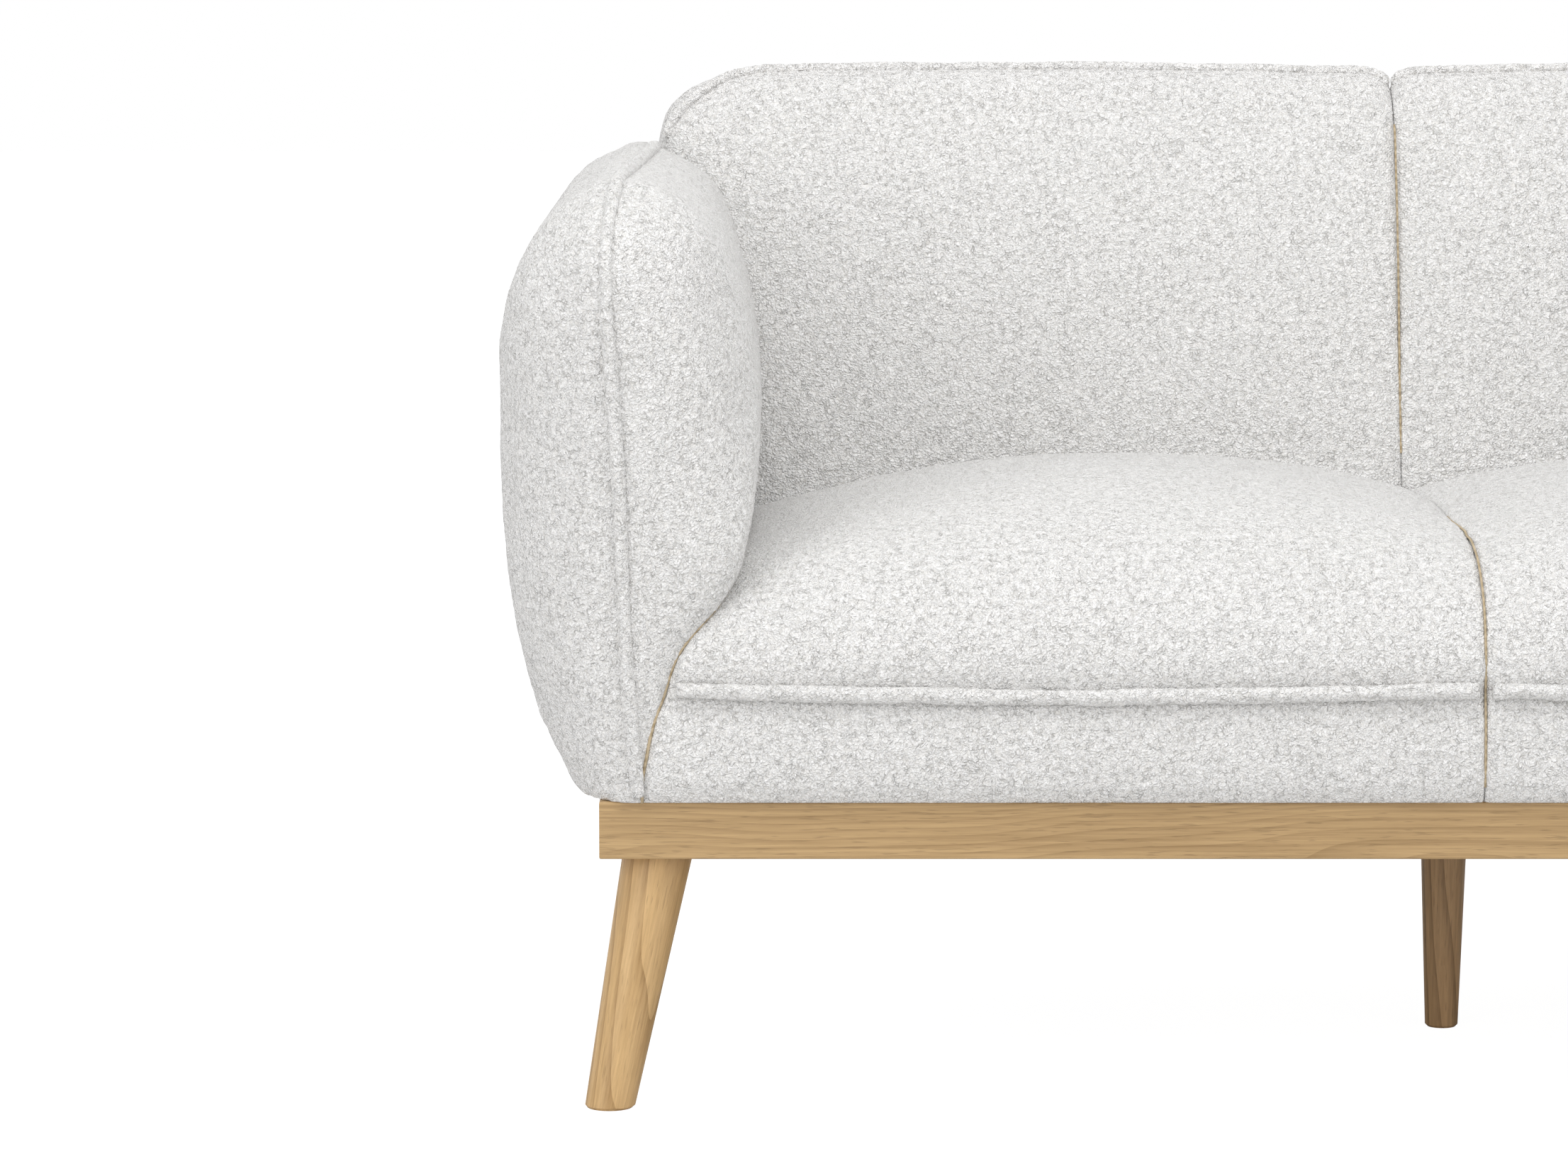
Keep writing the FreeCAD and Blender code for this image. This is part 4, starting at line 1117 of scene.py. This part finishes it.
@dataclass(frozen=True)
class Ends:
    """How a long pad closes at its two ends: a flat wall with a rounded edge."""

    share: float
    near: tuple[float, float]
    far: tuple[float, float]

    def close(self, ring: np.ndarray, centre: np.ndarray, polar: np.ndarray, foot: float,
              ) -> tuple[np.ndarray, np.ndarray, np.ndarray, np.ndarray]:
        """Shrink the ring towards its centre at the ends.

        Args:
            ring: places on the profile, as (along, level).
            centre: the middle of the profile.
            polar: share of the way from the first pole to the last.
            foot: level of the pad's flat underside.

        Returns:
            The shrunk ring, how far each place is inside the first and the last end, and the
            share of the straight run.
        """
        end = np.minimum(polar, 1 - polar)
        first = polar < 0.5
        wall = np.clip(end / self.share, 0, 1)
        turn = np.clip((end - self.share) / self.share, 0, 1) * math.pi / 2
        depth = np.where(first, self.near[1], self.far[1]) * (1 - np.sin(turn))
        arm = ring - centre
        length = np.linalg.norm(arm, axis=1)
        size = np.where(end < self.share, wall, 1.0) * (1 - depth / length)
        low = ease(ring[:, 1], foot + 0.002, foot + 0.04)
        level_size = np.where(end < self.share, size, 1 - (1 - size) * low)
        shrunk = centre + arm * np.column_stack([size, level_size])
        curl = np.where(end < self.share, 0.0, 1 - np.cos(turn))
        near = self.near[0] * np.where(first, curl, 1.0)
        far = self.far[0] * np.where(first, 1.0, curl)
        run = np.clip((polar - 2 * self.share) / (1 - 4 * self.share), 0, 1)
        return shrunk, near, far, run


@dataclass
class Seat(Upholstery):
    """A tight seat: a crowned top panel over a front band, with a welt between them."""

    kind: ClassVar[str] = "seat"
    ball: ClassVar[tuple[int, int]] = (200, 120)
    fill: ClassVar[float] = 0.85
    welt_lift: ClassVar[float] = 0.6
    welt_level: float = 0.312
    welt_radius: float = 0.0064
    end_share: float = 0.1
    arm_round: tuple[float, float] = (0.009, 0.007)
    middle_round: tuple[float, float] = (0.007, 0.009)
    overlap: float = 0.003
    into_arm: float = 0.009
    division_shift: float = 0.005

    def profile(self) -> np.ndarray:
        """The seat from the side, as (along, level), round once.

        Returns:
            Samples of the closed profile.
        """
        sofa = self.sofa
        front = sofa.front
        foot = sofa.foot
        back = [(float(sofa.back_plane(np.array([level]))[0]) - 0.001, level) for level in (0.40, 0.32)]
        heel = (sofa.back_foot - 0.001, foot)
        points = [(front + 0.010, foot), (front + 0.001, foot + 0.008), (front - 0.001, foot + 0.034),
                  (front + 0.003, foot + 0.064), (front + 0.009, self.welt_level),
                  (front + 0.004, self.welt_level + 0.014), (front + 0.007, 0.345), (front + 0.024, 0.382),
                  (front + 0.062, 0.414), (front + 0.125, 0.435), (front + 0.22, 0.446),
                  (front + 0.32, 0.448), (front + 0.44, 0.445), (front + 0.52, 0.439),
                  (front + 0.55, 0.430), back[0], back[1], heel, (front + 0.30, foot), (front + 0.12, foot)]
        return smooth_path(points, 320, closed=True)

    def crown(self, across: np.ndarray) -> np.ndarray:
        """How far the top falls below its highest line at a place across the seat.

        Args:
            across: places across the sofa.

        Returns:
            Lengths, zero or negative.
        """
        places = smooth_path([(-0.62, -0.075), (-0.56, -0.052), (-0.50, -0.034), (-0.43, -0.0175),
                              (-0.34, -0.004), (-0.25, 0.0), (-0.16, -0.003), (-0.09, -0.010),
                              (-0.04, -0.019), (0.0, -0.030)], 200)
        return np.interp(across, places[:, 0], places[:, 1])

    def shape(self, ball: np.ndarray) -> np.ndarray:
        """Wrap the ball round the seat.

        Args:
            ball: the ball's polar share and its share round the axis.

        Returns:
            The places on the seat.
        """
        sofa = self.sofa
        ring = along_curve(self.profile(), ball[:, 1])
        centre = np.array(sofa.seat_centre)
        ends = Ends(self.end_share, self.arm_round, self.middle_round)
        ring, near, far, run = ends.close(ring, centre, ball[:, 0], sofa.foot)
        level = np.maximum(ring[:, 1], sofa.foot) - sofa.below_foot(ring[:, 1])
        start = sofa.arm_edge(level) - self.into_arm
        across = start + near + run * (self.overlap - start - near - far)
        weight = ease(level, self.welt_level + 0.005, 0.44)
        fullness = 0.4 + 0.6 * ease(ring[:, 0], sofa.front, sofa.front + 0.28)
        level = level + self.crown(across) * weight * fullness
        return np.column_stack([across, ring[:, 0], level])

    def loose(self, points: np.ndarray) -> np.ndarray:
        """How free each vertex is: sewn at the welt and the ends, glued at the foot and rear.

        Args:
            points: vertices, one row each.

        Returns:
            A share for each vertex.
        """
        sofa = self.sofa
        off_welt = ease(np.abs(points[:, 2] - self.welt_level), 0.003, 0.028)
        off_welt = np.where(points[:, 1] > sofa.front + 0.05, 1.0, off_welt)
        off_foot = ease(points[:, 2], sofa.foot + 0.003, sofa.foot + 0.03)
        off_arm = ease(points[:, 0] - sofa.arm_edge(points[:, 2]), 0.004, 0.05)
        off_middle = ease(-points[:, 0], 0.004, 0.04)
        off_back = ease(sofa.back_plane(points[:, 2]) - points[:, 1], 0.004, 0.05)
        return off_welt * off_foot * off_arm * off_middle * off_back

    def arm_line(self) -> np.ndarray:
        """The line where the seat's skin meets the arm, from the plinth up and back."""
        rounds = np.linspace(0.005, 0.47, 220)
        return self.shape(np.column_stack([np.full(len(rounds), 1.78 * self.end_share), rounds]))

    def shift_division(self, points: np.ndarray) -> np.ndarray:
        """Let the left seat lean a little over the middle of the sofa.

        Args:
            points: vertices, one row each.

        Returns:
            The shifted places.
        """
        near = np.clip(1 - np.abs(points[:, 0]) / 0.25, 0, 1) ** 2
        in_front = 1 - ease(points[:, 1], self.sofa.front + 0.3, self.sofa.back_foot + 0.05)
        shifted = points.copy()
        shifted[:, 0] += self.division_shift * near * in_front
        return shifted

    def welt_path(self) -> np.ndarray:
        """The welt's line from the arm to the middle, sagging a little between them.

        Returns:
            Points along it.
        """
        sofa = self.sofa
        start = float(sofa.arm_edge(np.array([self.welt_level]))[0]) + 0.003
        across = np.linspace(start, -0.006, 150)
        share = (across - start) / (across[-1] - start)
        sag = 0.0045 * np.sin(share * math.pi)
        ends = 0.010 * (1 - np.minimum(quarter_round(share, 0.02), quarter_round(1 - share, 0.02)))
        along = sofa.front - 0.0005 + ends
        return np.column_stack([across, along, self.welt_level + 0.003 - sag])


@dataclass
class Back(Upholstery):
    """A tight backrest in two halves that meet in a seam, with a welt along its top."""

    kind: ClassVar[str] = "back"
    ball: ClassVar[tuple[int, int]] = (200, 130)
    fill: ClassVar[float] = 0.9
    welt_lift: ClassVar[float] = 0.3
    welt_passes: ClassVar[int] = 10
    welt_radius: float = 0.0045
    shoulder: float = 0.098
    shoulder_drop: float = 0.066
    notch: float = 0.013
    notch_width: float = 0.024
    bow: float = 0.004
    rise: float = 0.002
    end_share: float = 0.1
    arm_round: tuple[float, float] = (0.014, 0.010)
    middle_round: tuple[float, float] = (0.008, 0.010)
    overlap: float = 0.003

    def profile(self) -> np.ndarray:
        """The backrest from the side, as (along, level), round once.

        Returns:
            Samples of the closed profile.
        """
        sofa = self.sofa
        top = sofa.top
        rear = sofa.rear
        face = [(float(sofa.back_plane(np.array([level]))[0]) - crown, level)
                for level, crown in ((0.30, 0.0), (0.40, 0.0), (0.48, 0.003), (0.56, 0.006), (0.64, 0.006),
                                     (0.70, 0.001))]
        points = [(sofa.back_foot, sofa.foot)] + face + [
            (face[-1][0] + 0.010, top - 0.026), (face[-1][0] + 0.026, top - 0.009),
            (face[-1][0] + 0.045, top - 0.001), (face[-1][0] + 0.062, top - 0.004),
            (rear - 0.034, top - 0.020), (rear - 0.014, top - 0.040), (rear - 0.021, top - 0.062),
            (rear - 0.021, top - 0.11), (rear - 0.021, top - 0.2), (rear - 0.021, sofa.foot + 0.12),
            (rear - 0.021, sofa.foot), (rear - 0.12, sofa.foot)]
        return smooth_path(points, 320, closed=True)

    def top_at(self, across: np.ndarray) -> np.ndarray:
        """The level of the top at a place across the left half.

        Args:
            across: places across the sofa.

        Returns:
            The levels there.
        """
        sofa = self.sofa
        shoulder = quarter_round(across - sofa.back_end, self.shoulder, 2.5)
        middle = quarter_round(-across, self.notch_width)
        bow = (2 * across / sofa.back_end - 1) ** 2
        fall = self.shoulder_drop * (1 - shoulder) + self.notch * (1 - middle) + self.bow * bow
        return sofa.top + self.rise - fall

    def shape(self, ball: np.ndarray) -> np.ndarray:
        """Wrap the ball round the left half.

        Args:
            ball: the ball's polar share and its share round the axis.

        Returns:
            The places on the half.
        """
        sofa = self.sofa
        ring = along_curve(self.profile(), ball[:, 1])
        centre = np.array(sofa.back_centre)
        ends = Ends(self.end_share, self.arm_round, self.middle_round)
        ring, near, far, run = ends.close(ring, centre, ball[:, 0], sofa.foot)
        across = sofa.back_end + near + run * (self.overlap - sofa.back_end - near - far)
        shrink = (self.top_at(across) - sofa.foot) / (sofa.top - sofa.foot)
        level = sofa.foot + (np.maximum(ring[:, 1], sofa.foot) - sofa.foot) * shrink
        return np.column_stack([across, ring[:, 0], level])

    def loose(self, points: np.ndarray) -> np.ndarray:
        """How free each vertex is: sewn along the top and the middle, glued lower down.

        Args:
            points: vertices, one row each.

        Returns:
            A share for each vertex.
        """
        sofa = self.sofa
        off_top = ease(self.top_at(points[:, 0]) - points[:, 2], 0.004, 0.03)
        off_end = ease(points[:, 0] - sofa.back_end, 0.01, 0.06)
        off_middle = ease(-points[:, 0], 0.004, 0.05)
        off_foot = ease(points[:, 2], 0.40, 0.47)
        in_front = ease(sofa.rear - points[:, 1], 0.02, 0.06)
        return off_top * off_end * off_middle * off_foot * in_front

    def welt_path(self) -> np.ndarray:
        """The welt's line over the shoulder and along the crest to the middle.

        Returns:
            Points along it.
        """
        sofa = self.sofa
        across = np.concatenate([sofa.back_end + 0.001 + 0.10 * (1 - np.cos(np.linspace(0, 1.3, 60))),
                                 np.linspace(sofa.back_end + 0.08, -0.03, 110),
                                 -0.03 + 0.026 * np.sin(np.linspace(0.1, 1.5, 20))])
        level = self.top_at(across)
        crest = float(sofa.back_plane(np.array([0.70]))[0]) + 0.044
        low_crest = float(sofa.back_plane(np.array([sofa.arm_top]))[0]) + 0.012
        lift = ease(across, sofa.back_end, sofa.back_end + self.shoulder)
        along = low_crest + (crest - low_crest) * lift
        path = np.column_stack([across, along, level + 0.0005])
        dive = np.repeat(path[-1:], 12, axis=0)
        dive[:, 2] -= np.linspace(0.002, 0.024, 12)
        return np.vstack([path, dive])

    def hold(self, line: np.ndarray, side: Side) -> np.ndarray:
        """Keep the welt on its own side where it dives between the halves."""
        line[:, 0] = np.maximum(line[:, 0] * side.value, self.welt_radius) * side.value
        return line


@dataclass
class Divisions:
    """Thin tan cords laid in the creases where seats, backs and arms meet; the ones along the arms are
    painted shadow lines.
    """

    sofa: Sofa
    radius: float = 0.0009
    arm_radius: float = 0.0012
    arm_lift: float = 0.0012
    crest_lift: float = 0.007

    def build(self, seat: Piece, back: Piece, arm: Piece, maker: Seat) -> list[Piece]:
        """Lay a thin tan cord along each division; along each arm it is a painted shadow line.

        Args:
            seat: the left seat, before it leans over the middle.
            back: the left half of the backrest.
            arm: the left arm.
            maker: the seats' shape.

        Returns:
            The cords.
        """
        sofa = self.sofa
        threads = []
        # Along the seat's edge at each arm the tan cord is a painted shadow line in the crease.
        crease = maker.arm_line()
        for _ in range(5):
            crease = lay_on(seat, lay_on(arm, crease, 0.0, 0), 0.0, 0)
        crease = lay_on(seat, crease, self.arm_lift, 8)
        for side in Side:
            path = crease * np.array([-side.value, 1, 1])
            threads.append(self.sew(f"arm_thread_{side.word}", path, self.arm_radius))
        for name, pad, centre, start, end in (
                ("seat_crease_line", seat, sofa.seat_centre, 85.0, 198.0),
                ("back_crease_line", back, sofa.back_centre, 92.0, 205.0)):
            path = wall_edge(pad, centre, start, end)
            if pad is seat:
                path = maker.shift_division(path)
            else:
                outwards = path - np.array([0.0, *centre])
                outwards /= np.linalg.norm(outwards, axis=1, keepdims=True)
                path += outwards * self.crest_lift * np.linspace(1, 0, len(path))[:, None] ** 2
            threads.append(self.sew(name, path, self.radius))
        LOG.info("threads")
        return threads

    @staticmethod
    def sew(name: str, path: np.ndarray, radius: float) -> Piece:
        """Lay one thin tan cord along a path.

        Args:
            name: the piece's name.
            path: points along the cord.
            radius: half its thickness.

        Returns:
            The cord.
        """
        thread = add_tube(name, path, radius)
        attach(thread, "root")
        return thread


@dataclass
class RearPanel:
    """The padded panel that closes the back, with a welt round it."""

    cloth: Cloth
    welt_radius: float = 0.0042
    crown: float = 0.003
    side_wrap: float = 0.021
    top_wrap: float = 0.004
    edge_round: float = 0.007
    voxel: float = 0.006
    corner: float = 0.02
    inset: float = 0.002
    step: float = 0.006

    def build(self) -> list[Piece]:
        """Make the panel and its welt.

        Returns:
            The panel and the welt.
        """
        low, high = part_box("outer_back_panel")
        low.x, high.x = low.x - self.side_wrap, high.x + self.side_wrap
        high.z += self.top_wrap
        deselect()
        bpy.ops.mesh.primitive_cube_add(size=1.0, location=(low + high) / 2, scale=high - low)
        bpy.ops.object.transform_apply(location=True, rotation=True, scale=True)
        panel = name_piece("rear_panel")
        apply_modifier(panel, "BEVEL", width=self.edge_round, segments=3)
        apply_modifier(panel, "REMESH", mode="VOXEL", voxel_size=self.voxel)
        middle = (low + high) / 2
        half = (high - low) / 2

        def swell(points: np.ndarray) -> np.ndarray:
            """Crown the rear face.

            Args:
                points: vertices, one row each.

            Returns:
                The crowned places.
            """
            across = 1 - np.clip(np.abs((points[:, 0] - middle.x) / half.x), 0, 1) ** 6
            upright = 1 - np.clip(np.abs((points[:, 2] - middle.z) / half.z), 0, 1) ** 4
            behind = ease(points[:, 1], middle.y, high.y)
            moved = points.copy()
            moved[:, 1] += self.crown * across * upright * behind
            return moved

        move_vertices(panel, swell)
        self.cloth.roughen(panel, subdivide=False)
        path = self.border(low, high)
        welt = add_tube("rear_panel_welt", path, self.welt_radius, closed=True)
        self.cloth.roughen(welt)
        for piece in (panel, welt):
            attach(piece, "root")
        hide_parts("outer_back_panel")
        LOG.info("rear panel")
        return [panel, welt]

    def border(self, low: Vector, high: Vector) -> np.ndarray:
        """A closed line just inside the panel's edge, with rounded corners.

        Args:
            low: the panel's lowest corner.
            high: its highest corner.

        Returns:
            Points along the line.
        """
        corner = self.corner
        left, right = low.x + self.inset, high.x - self.inset
        bottom, top = low.z + self.welt_radius, high.z - self.inset
        runs = []
        centres = ((right - corner, bottom + corner, -90), (right - corner, top - corner, 0),
                   (left + corner, top - corner, 90), (left + corner, bottom + corner, 180))
        for index, (across, level, start) in enumerate(centres):
            swing = np.radians(np.linspace(start, start + 90, 12))
            arc = np.column_stack([across + corner * np.cos(swing), level + corner * np.sin(swing)])
            following = centres[(index + 1) % 4]
            begin = np.radians(following[2])
            target = np.array([following[0] + corner * np.cos(begin),
                               following[1] + corner * np.sin(begin)])
            count = max(4, int(np.linalg.norm(target - arc[-1]) / self.step))
            straight = np.linspace(arc[-1], target, count)[1:-1]
            runs += [arc, straight]
        flat = np.vstack(runs)
        return np.column_stack([flat[:, 0], np.full(len(flat), high.y - 0.001), flat[:, 1]])


@dataclass
class DustCover:
    """The lining stapled under the seat box, sagging slightly between its boards."""

    sag: float = 0.004
    thickness: float = 0.0006

    def build(self) -> Piece:
        """Make the sheet.

        Returns:
            The sheet.
        """
        low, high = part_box("dust_cover")
        deselect()
        bpy.ops.mesh.primitive_grid_add(x_subdivisions=96, y_subdivisions=56, size=1.0)
        sheet = name_piece("lining")

        def hang(points: np.ndarray) -> np.ndarray:
            """Stretch the grid to its size and let it sag in each bay.

            Args:
                points: the grid's vertices.

            Returns:
                Their new places.
            """
            across = low.x + (points[:, 0] + 0.5) * (high.x - low.x)
            along = low.y + (points[:, 1] + 0.5) * (high.y - low.y)
            bay = np.abs(np.sin(math.pi * across / high.x))
            between = np.clip(1 - (2 * points[:, 1]) ** 4, 0, 1)
            level = high.z - 0.0012 - self.sag * bay * between
            return np.column_stack([across, along, level])

        move_vertices(sheet, hang)
        apply_modifier(sheet, "SOLIDIFY", thickness=self.thickness, offset=0.0)
        bpy.ops.object.shade_smooth()
        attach(sheet, "root")
        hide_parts("dust_cover")
        LOG.info("lining")
        return sheet


# ------------------------------------------------------------------ finishes on nodes

def dress(piece: Piece, material: bpy.types.Material) -> None:
    """Give a piece one material."""
    piece.data.materials.clear()
    piece.data.materials.append(material)


@dataclass
class Wardrobe:
    """Puts a finish on every piece and every carried-over node."""

    pile: bpy.types.NodeTree
    grain: bpy.types.NodeTree
    oak_early: Colour = (0.565, 0.378, 0.182, 1)
    oak_late: Colour = (0.24, 0.14, 0.052, 1)
    leg_early: Colour = (0.68, 0.45, 0.21, 1)
    leg_late: Colour = (0.33, 0.19, 0.068, 1)
    # The centre leg stands in shade under the sofa: its darker oak is painted shade.
    centre_shaded_early: Colour = (0.62, 0.385, 0.19, 1)
    centre_shaded_late: Colour = (0.24, 0.135, 0.055, 1)
    pine_early: Colour = (0.72, 0.54, 0.33, 1)
    pine_late: Colour = (0.56, 0.36, 0.18, 1)
    lacquer: float = 0.42
    splay: float = 0.19

    def oak(self, name: str, early: Colour, late: Colour, **settings: object) -> bpy.types.Material:
        """Pale clear-lacquered oak for one piece."""
        return Wood(name, self.grain, early, late, self.lacquer, **settings).build()

    def dress_rails(self) -> None:
        """Oak along each rail."""
        quarter = math.pi / 2
        for name, turn, heart in (("front_rail", (0, quarter, 0), (0.0, -0.30, 0.16)),
                                  ("rear_rail", (0, quarter, 0), (0.0, 0.30, 0.15)),
                                  ("left_rail", (quarter, 0, 0), (-0.56, 0.0, 0.15)),
                                  ("right_rail", (quarter, 0, 0), (0.56, 0.0, 0.17))):
            dress(frame["nodes"][name], self.oak(f"oak_{name}", self.oak_early, self.oak_late,
                                                 turn=turn, heart=heart, ring=0.0028, contrast=0.28))

    def dress_legs(self) -> None:
        """Oak along each leg, the centre of the tree beside it; the centre leg's oak is painted darker as
        shade.
        """
        for name in ("leg_front_left", "leg_front_right", "leg_rear_left", "leg_rear_right", "leg_centre"):
            low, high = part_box(name)
            centre = (low + high) / 2
            sideways = 0.0 if name == "leg_centre" else math.copysign(self.splay, centre.x)
            forwards = 0.0 if name == "leg_centre" else math.copysign(self.splay, centre.y)
            turn = (forwards, -sideways, 0.0)
            heart = (centre.x + 0.012, centre.y + 0.035, centre.z)
            # Darker tones for the centre leg: painted shade.
            tones = (self.centre_shaded_early, self.centre_shaded_late) if name == "leg_centre" else (
                self.leg_early, self.leg_late)
            dress(frame["nodes"][name], self.oak(f"oak_{name}", *tones, turn=turn, heart=heart,
                                                 ring=0.007, contrast=0.52))

    def dress_frame(self) -> None:
        """Pine, steel, webbing and felt inside."""
        quarter = math.pi / 2
        turns = {"X": (0.0, quarter, 0.0), "Y": (quarter, 0.0, 0.0), "Z": (0.0, 0.0, 0.0)}
        pine = {axis: Wood(f"pine_{axis.lower()}", self.grain, self.pine_early, self.pine_late, 0.7,
                           turn=turn, ring=0.009).build() for axis, turn in turns.items()}
        finishes = {
            "zinc_steel": Metal("zinc_steel", (0.72, 0.72, 0.74, 1), 0.32).build(),
            "spring_steel": Metal("spring_steel", (0.24, 0.24, 0.26, 1), 0.36).build(),
            "webbing": Weave("webbing", (0.62, 0.54, 0.42, 1), (0.33, 0.26, 0.17, 1), 0.0022,
                             0.0006).build(),
            "grey_felt": Weave("grey_felt", (0.40, 0.39, 0.38, 1), (0.22, 0.215, 0.21, 1), 0.0025, 0.0008,
                               felted=True).build(),
        }
        slots = {part["node"]: part["material_slot"] for part in frame["record"]["subparts"]}
        for name, node in frame["nodes"].items():
            slot = slots[name]
            if slot in finishes:
                dress(node, finishes[slot])
            elif slot == "frame_pine":
                low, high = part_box(name)
                size = high - low
                longest = "XYZ"[max(range(3), key=lambda index: size[index])]
                dress(node, pine[longest])

    def dress_soft(self, pieces: list[Piece], threads: list[Piece], lining: Piece) -> None:
        """Boucle on the pads and welts, tan cords in the creases between them (painted shadow lines along
        the arms), black lining below.

        Args:
            pieces: the pads and welts.
            threads: the tan crease cords.
            lining: the sheet below.
        """
        # Tan cords in the creases; along the arms they are painted shadow lines.
        tan = Weave("tan_crease_line", (0.52, 0.42, 0.28, 1), (0.36, 0.28, 0.17, 1), 0.001, 0.0002).build()
        for thread in threads:
            dress(thread, tan)
        boucle = Boucle("boucle", self.pile).build()
        for piece in pieces:
            dress(piece, boucle)
        black = Weave("black_lining", (0.05, 0.05, 0.052, 1), (0.02, 0.02, 0.021, 1), 0.002, 0.0003,
                      felted=True).build()
        dress(lining, black)


# ------------------------------------------------------------------ studio

@dataclass
class Studio:
    """The floor, the lights, the backdrop and the camera."""

    lens: float = 134.66
    sensor: float = 36.0
    eye: tuple[float, float, float] = (-0.513, -4.675, 0.91)
    pitch: float = 6.90
    even_light: float = 0.62
    floor_tone: float = 0.77
    floor_glow: float = 1.24
    glow_share: float = 0.78

    def place_camera(self) -> None:
        """A long lens at the height of a standing person's waist, tipped down."""
        camera = bpy.data.cameras.new("camera")
        camera.lens = self.lens
        camera.sensor_width = self.sensor
        camera.sensor_fit = "HORIZONTAL"
        camera.clip_end = 60
        view = bpy.data.objects.new("camera", camera)
        view.location = self.eye
        view.rotation_euler = (math.radians(90 - self.pitch), 0.0, 0.0)
        bpy.context.scene.collection.objects.link(view)
        bpy.context.scene.camera = view

    def light(self, name: str, place: tuple[float, float, float], size: tuple[float, float],
              power: float, aim: tuple[float, float, float] = (0.0, 0.0, 0.4)) -> None:
        """A soft box at a place, aimed at a point.

        Args:
            name: the lamp's name.
            place: where it stands.
            size: its width and height.
            power: its power in watts.
            aim: the point it faces.
        """
        lamp = bpy.data.lights.new(name, "AREA")
        lamp.shape = "RECTANGLE"
        lamp.size, lamp.size_y = size
        lamp.energy = power
        box = bpy.data.objects.new(name, lamp)
        box.location = place
        direction = Vector(aim) - Vector(place)
        box.rotation_euler = direction.to_track_quat("-Z", "Y").to_euler()
        bpy.context.scene.collection.objects.link(box)

    def place_lights(self) -> None:
        """Soft boxes overhead, on both sides in front, and behind."""
        self.light("overhead", (-0.2, -1.0, 3.0), (3.2, 2.2), 42)
        self.light("front_left", (-2.6, -3.0, 1.7), (2.2, 2.2), 37)
        self.light("front_right", (2.8, -2.8, 1.4), (2.2, 2.2), 26)
        self.light("rear", (0.5, 3.2, 2.2), (3.0, 2.0), 26)

    def build_world(self) -> None:
        """A white surround that the camera and gloss see, and weak even light."""
        world = bpy.data.worlds.new("studio")
        world.use_nodes = True
        bpy.context.scene.world = world
        graph = Graph(world.node_tree)
        even = world.node_tree.nodes["Background"]
        even.inputs["Color"].default_value = (1, 1, 1, 1)
        even.inputs["Strength"].default_value = self.even_light
        white = graph.add("Background", {"Color": (1, 1, 1, 1), "Strength": 1.0})
        rays = graph.add("LightPath")
        seen = graph.math("MAXIMUM", rays.outputs["Is Camera Ray"], rays.outputs["Is Glossy Ray"])
        seen = graph.math("MAXIMUM", seen, rays.outputs["Is Transmission Ray"])
        blend = graph.add("MixShader", {0: seen, 1: even.outputs[0], 2: white.outputs[0]})
        graph.tree.links.new(blend.outputs[0], world.node_tree.nodes["World Output"].inputs["Surface"])

    def build_floor(self) -> None:
        """A pale floor that keeps the sofa's shadow."""
        deselect()
        bpy.ops.mesh.primitive_plane_add(size=30.0)
        floor = name_piece("floor")
        material = bpy.data.materials.new("floor")
        material.use_nodes = True
        graph = Graph(material.node_tree)
        shader = material.node_tree.nodes["Principled BSDF"]
        shader.inputs["Base Color"].default_value = (*[self.floor_tone] * 3, 1)
        shader.inputs["Roughness"].default_value = 0.9
        glow = graph.add("Emission", {"Color": (1, 1, 1, 1), "Strength": self.floor_glow})
        rays = graph.add("LightPath")
        share = graph.math("MULTIPLY", rays.outputs["Is Camera Ray"], self.glow_share)
        blend = graph.add("MixShader", {0: share, 1: shader.outputs[0], 2: glow.outputs[0]})
        output = material.node_tree.nodes["Material Output"]
        graph.tree.links.new(blend.outputs[0], output.inputs["Surface"])
        dress(floor, material)

    def build(self) -> None:
        """Set up everything round the sofa."""
        bpy.context.scene.view_settings.view_transform = "Standard"
        self.place_camera()
        self.place_lights()
        self.build_world()
        self.build_floor()


def main() -> None:
    """Build the studio, the upholstery and the finishes in order."""
    logging.basicConfig(level=logging.INFO, format="%(name)s: %(message)s")
    Studio().build()
    sofa = Sofa()
    cloth = Cloth()
    firm = Cloth(cap=0.005)
    seat, back = Seat(sofa, cloth), Back(sofa, cloth)
    seats, backs = seat.build(), back.build()
    arms = Arm(sofa, firm).build()
    # Tan cords in the creases; the ones along the arms are painted shadow lines.
    threads = Divisions(sofa).build(seats[0][0], backs[0][0], arms[0][0], seat)
    for piece in (piece for pair in seats for piece in pair):
        move_vertices(piece, seat.shift_division)
    pads = arms + seats + backs
    soft = [piece for pair in pads for piece in pair] + RearPanel(cloth).build()
    lining = DustCover().build()
    wardrobe = Wardrobe(build_pile_group(), build_grain_group())
    wardrobe.dress_rails()
    wardrobe.dress_legs()
    wardrobe.dress_frame()
    wardrobe.dress_soft(soft, threads, lining)
    LOG.info("%d soft pieces", len(soft))


if __name__ == "__main__":
    main()
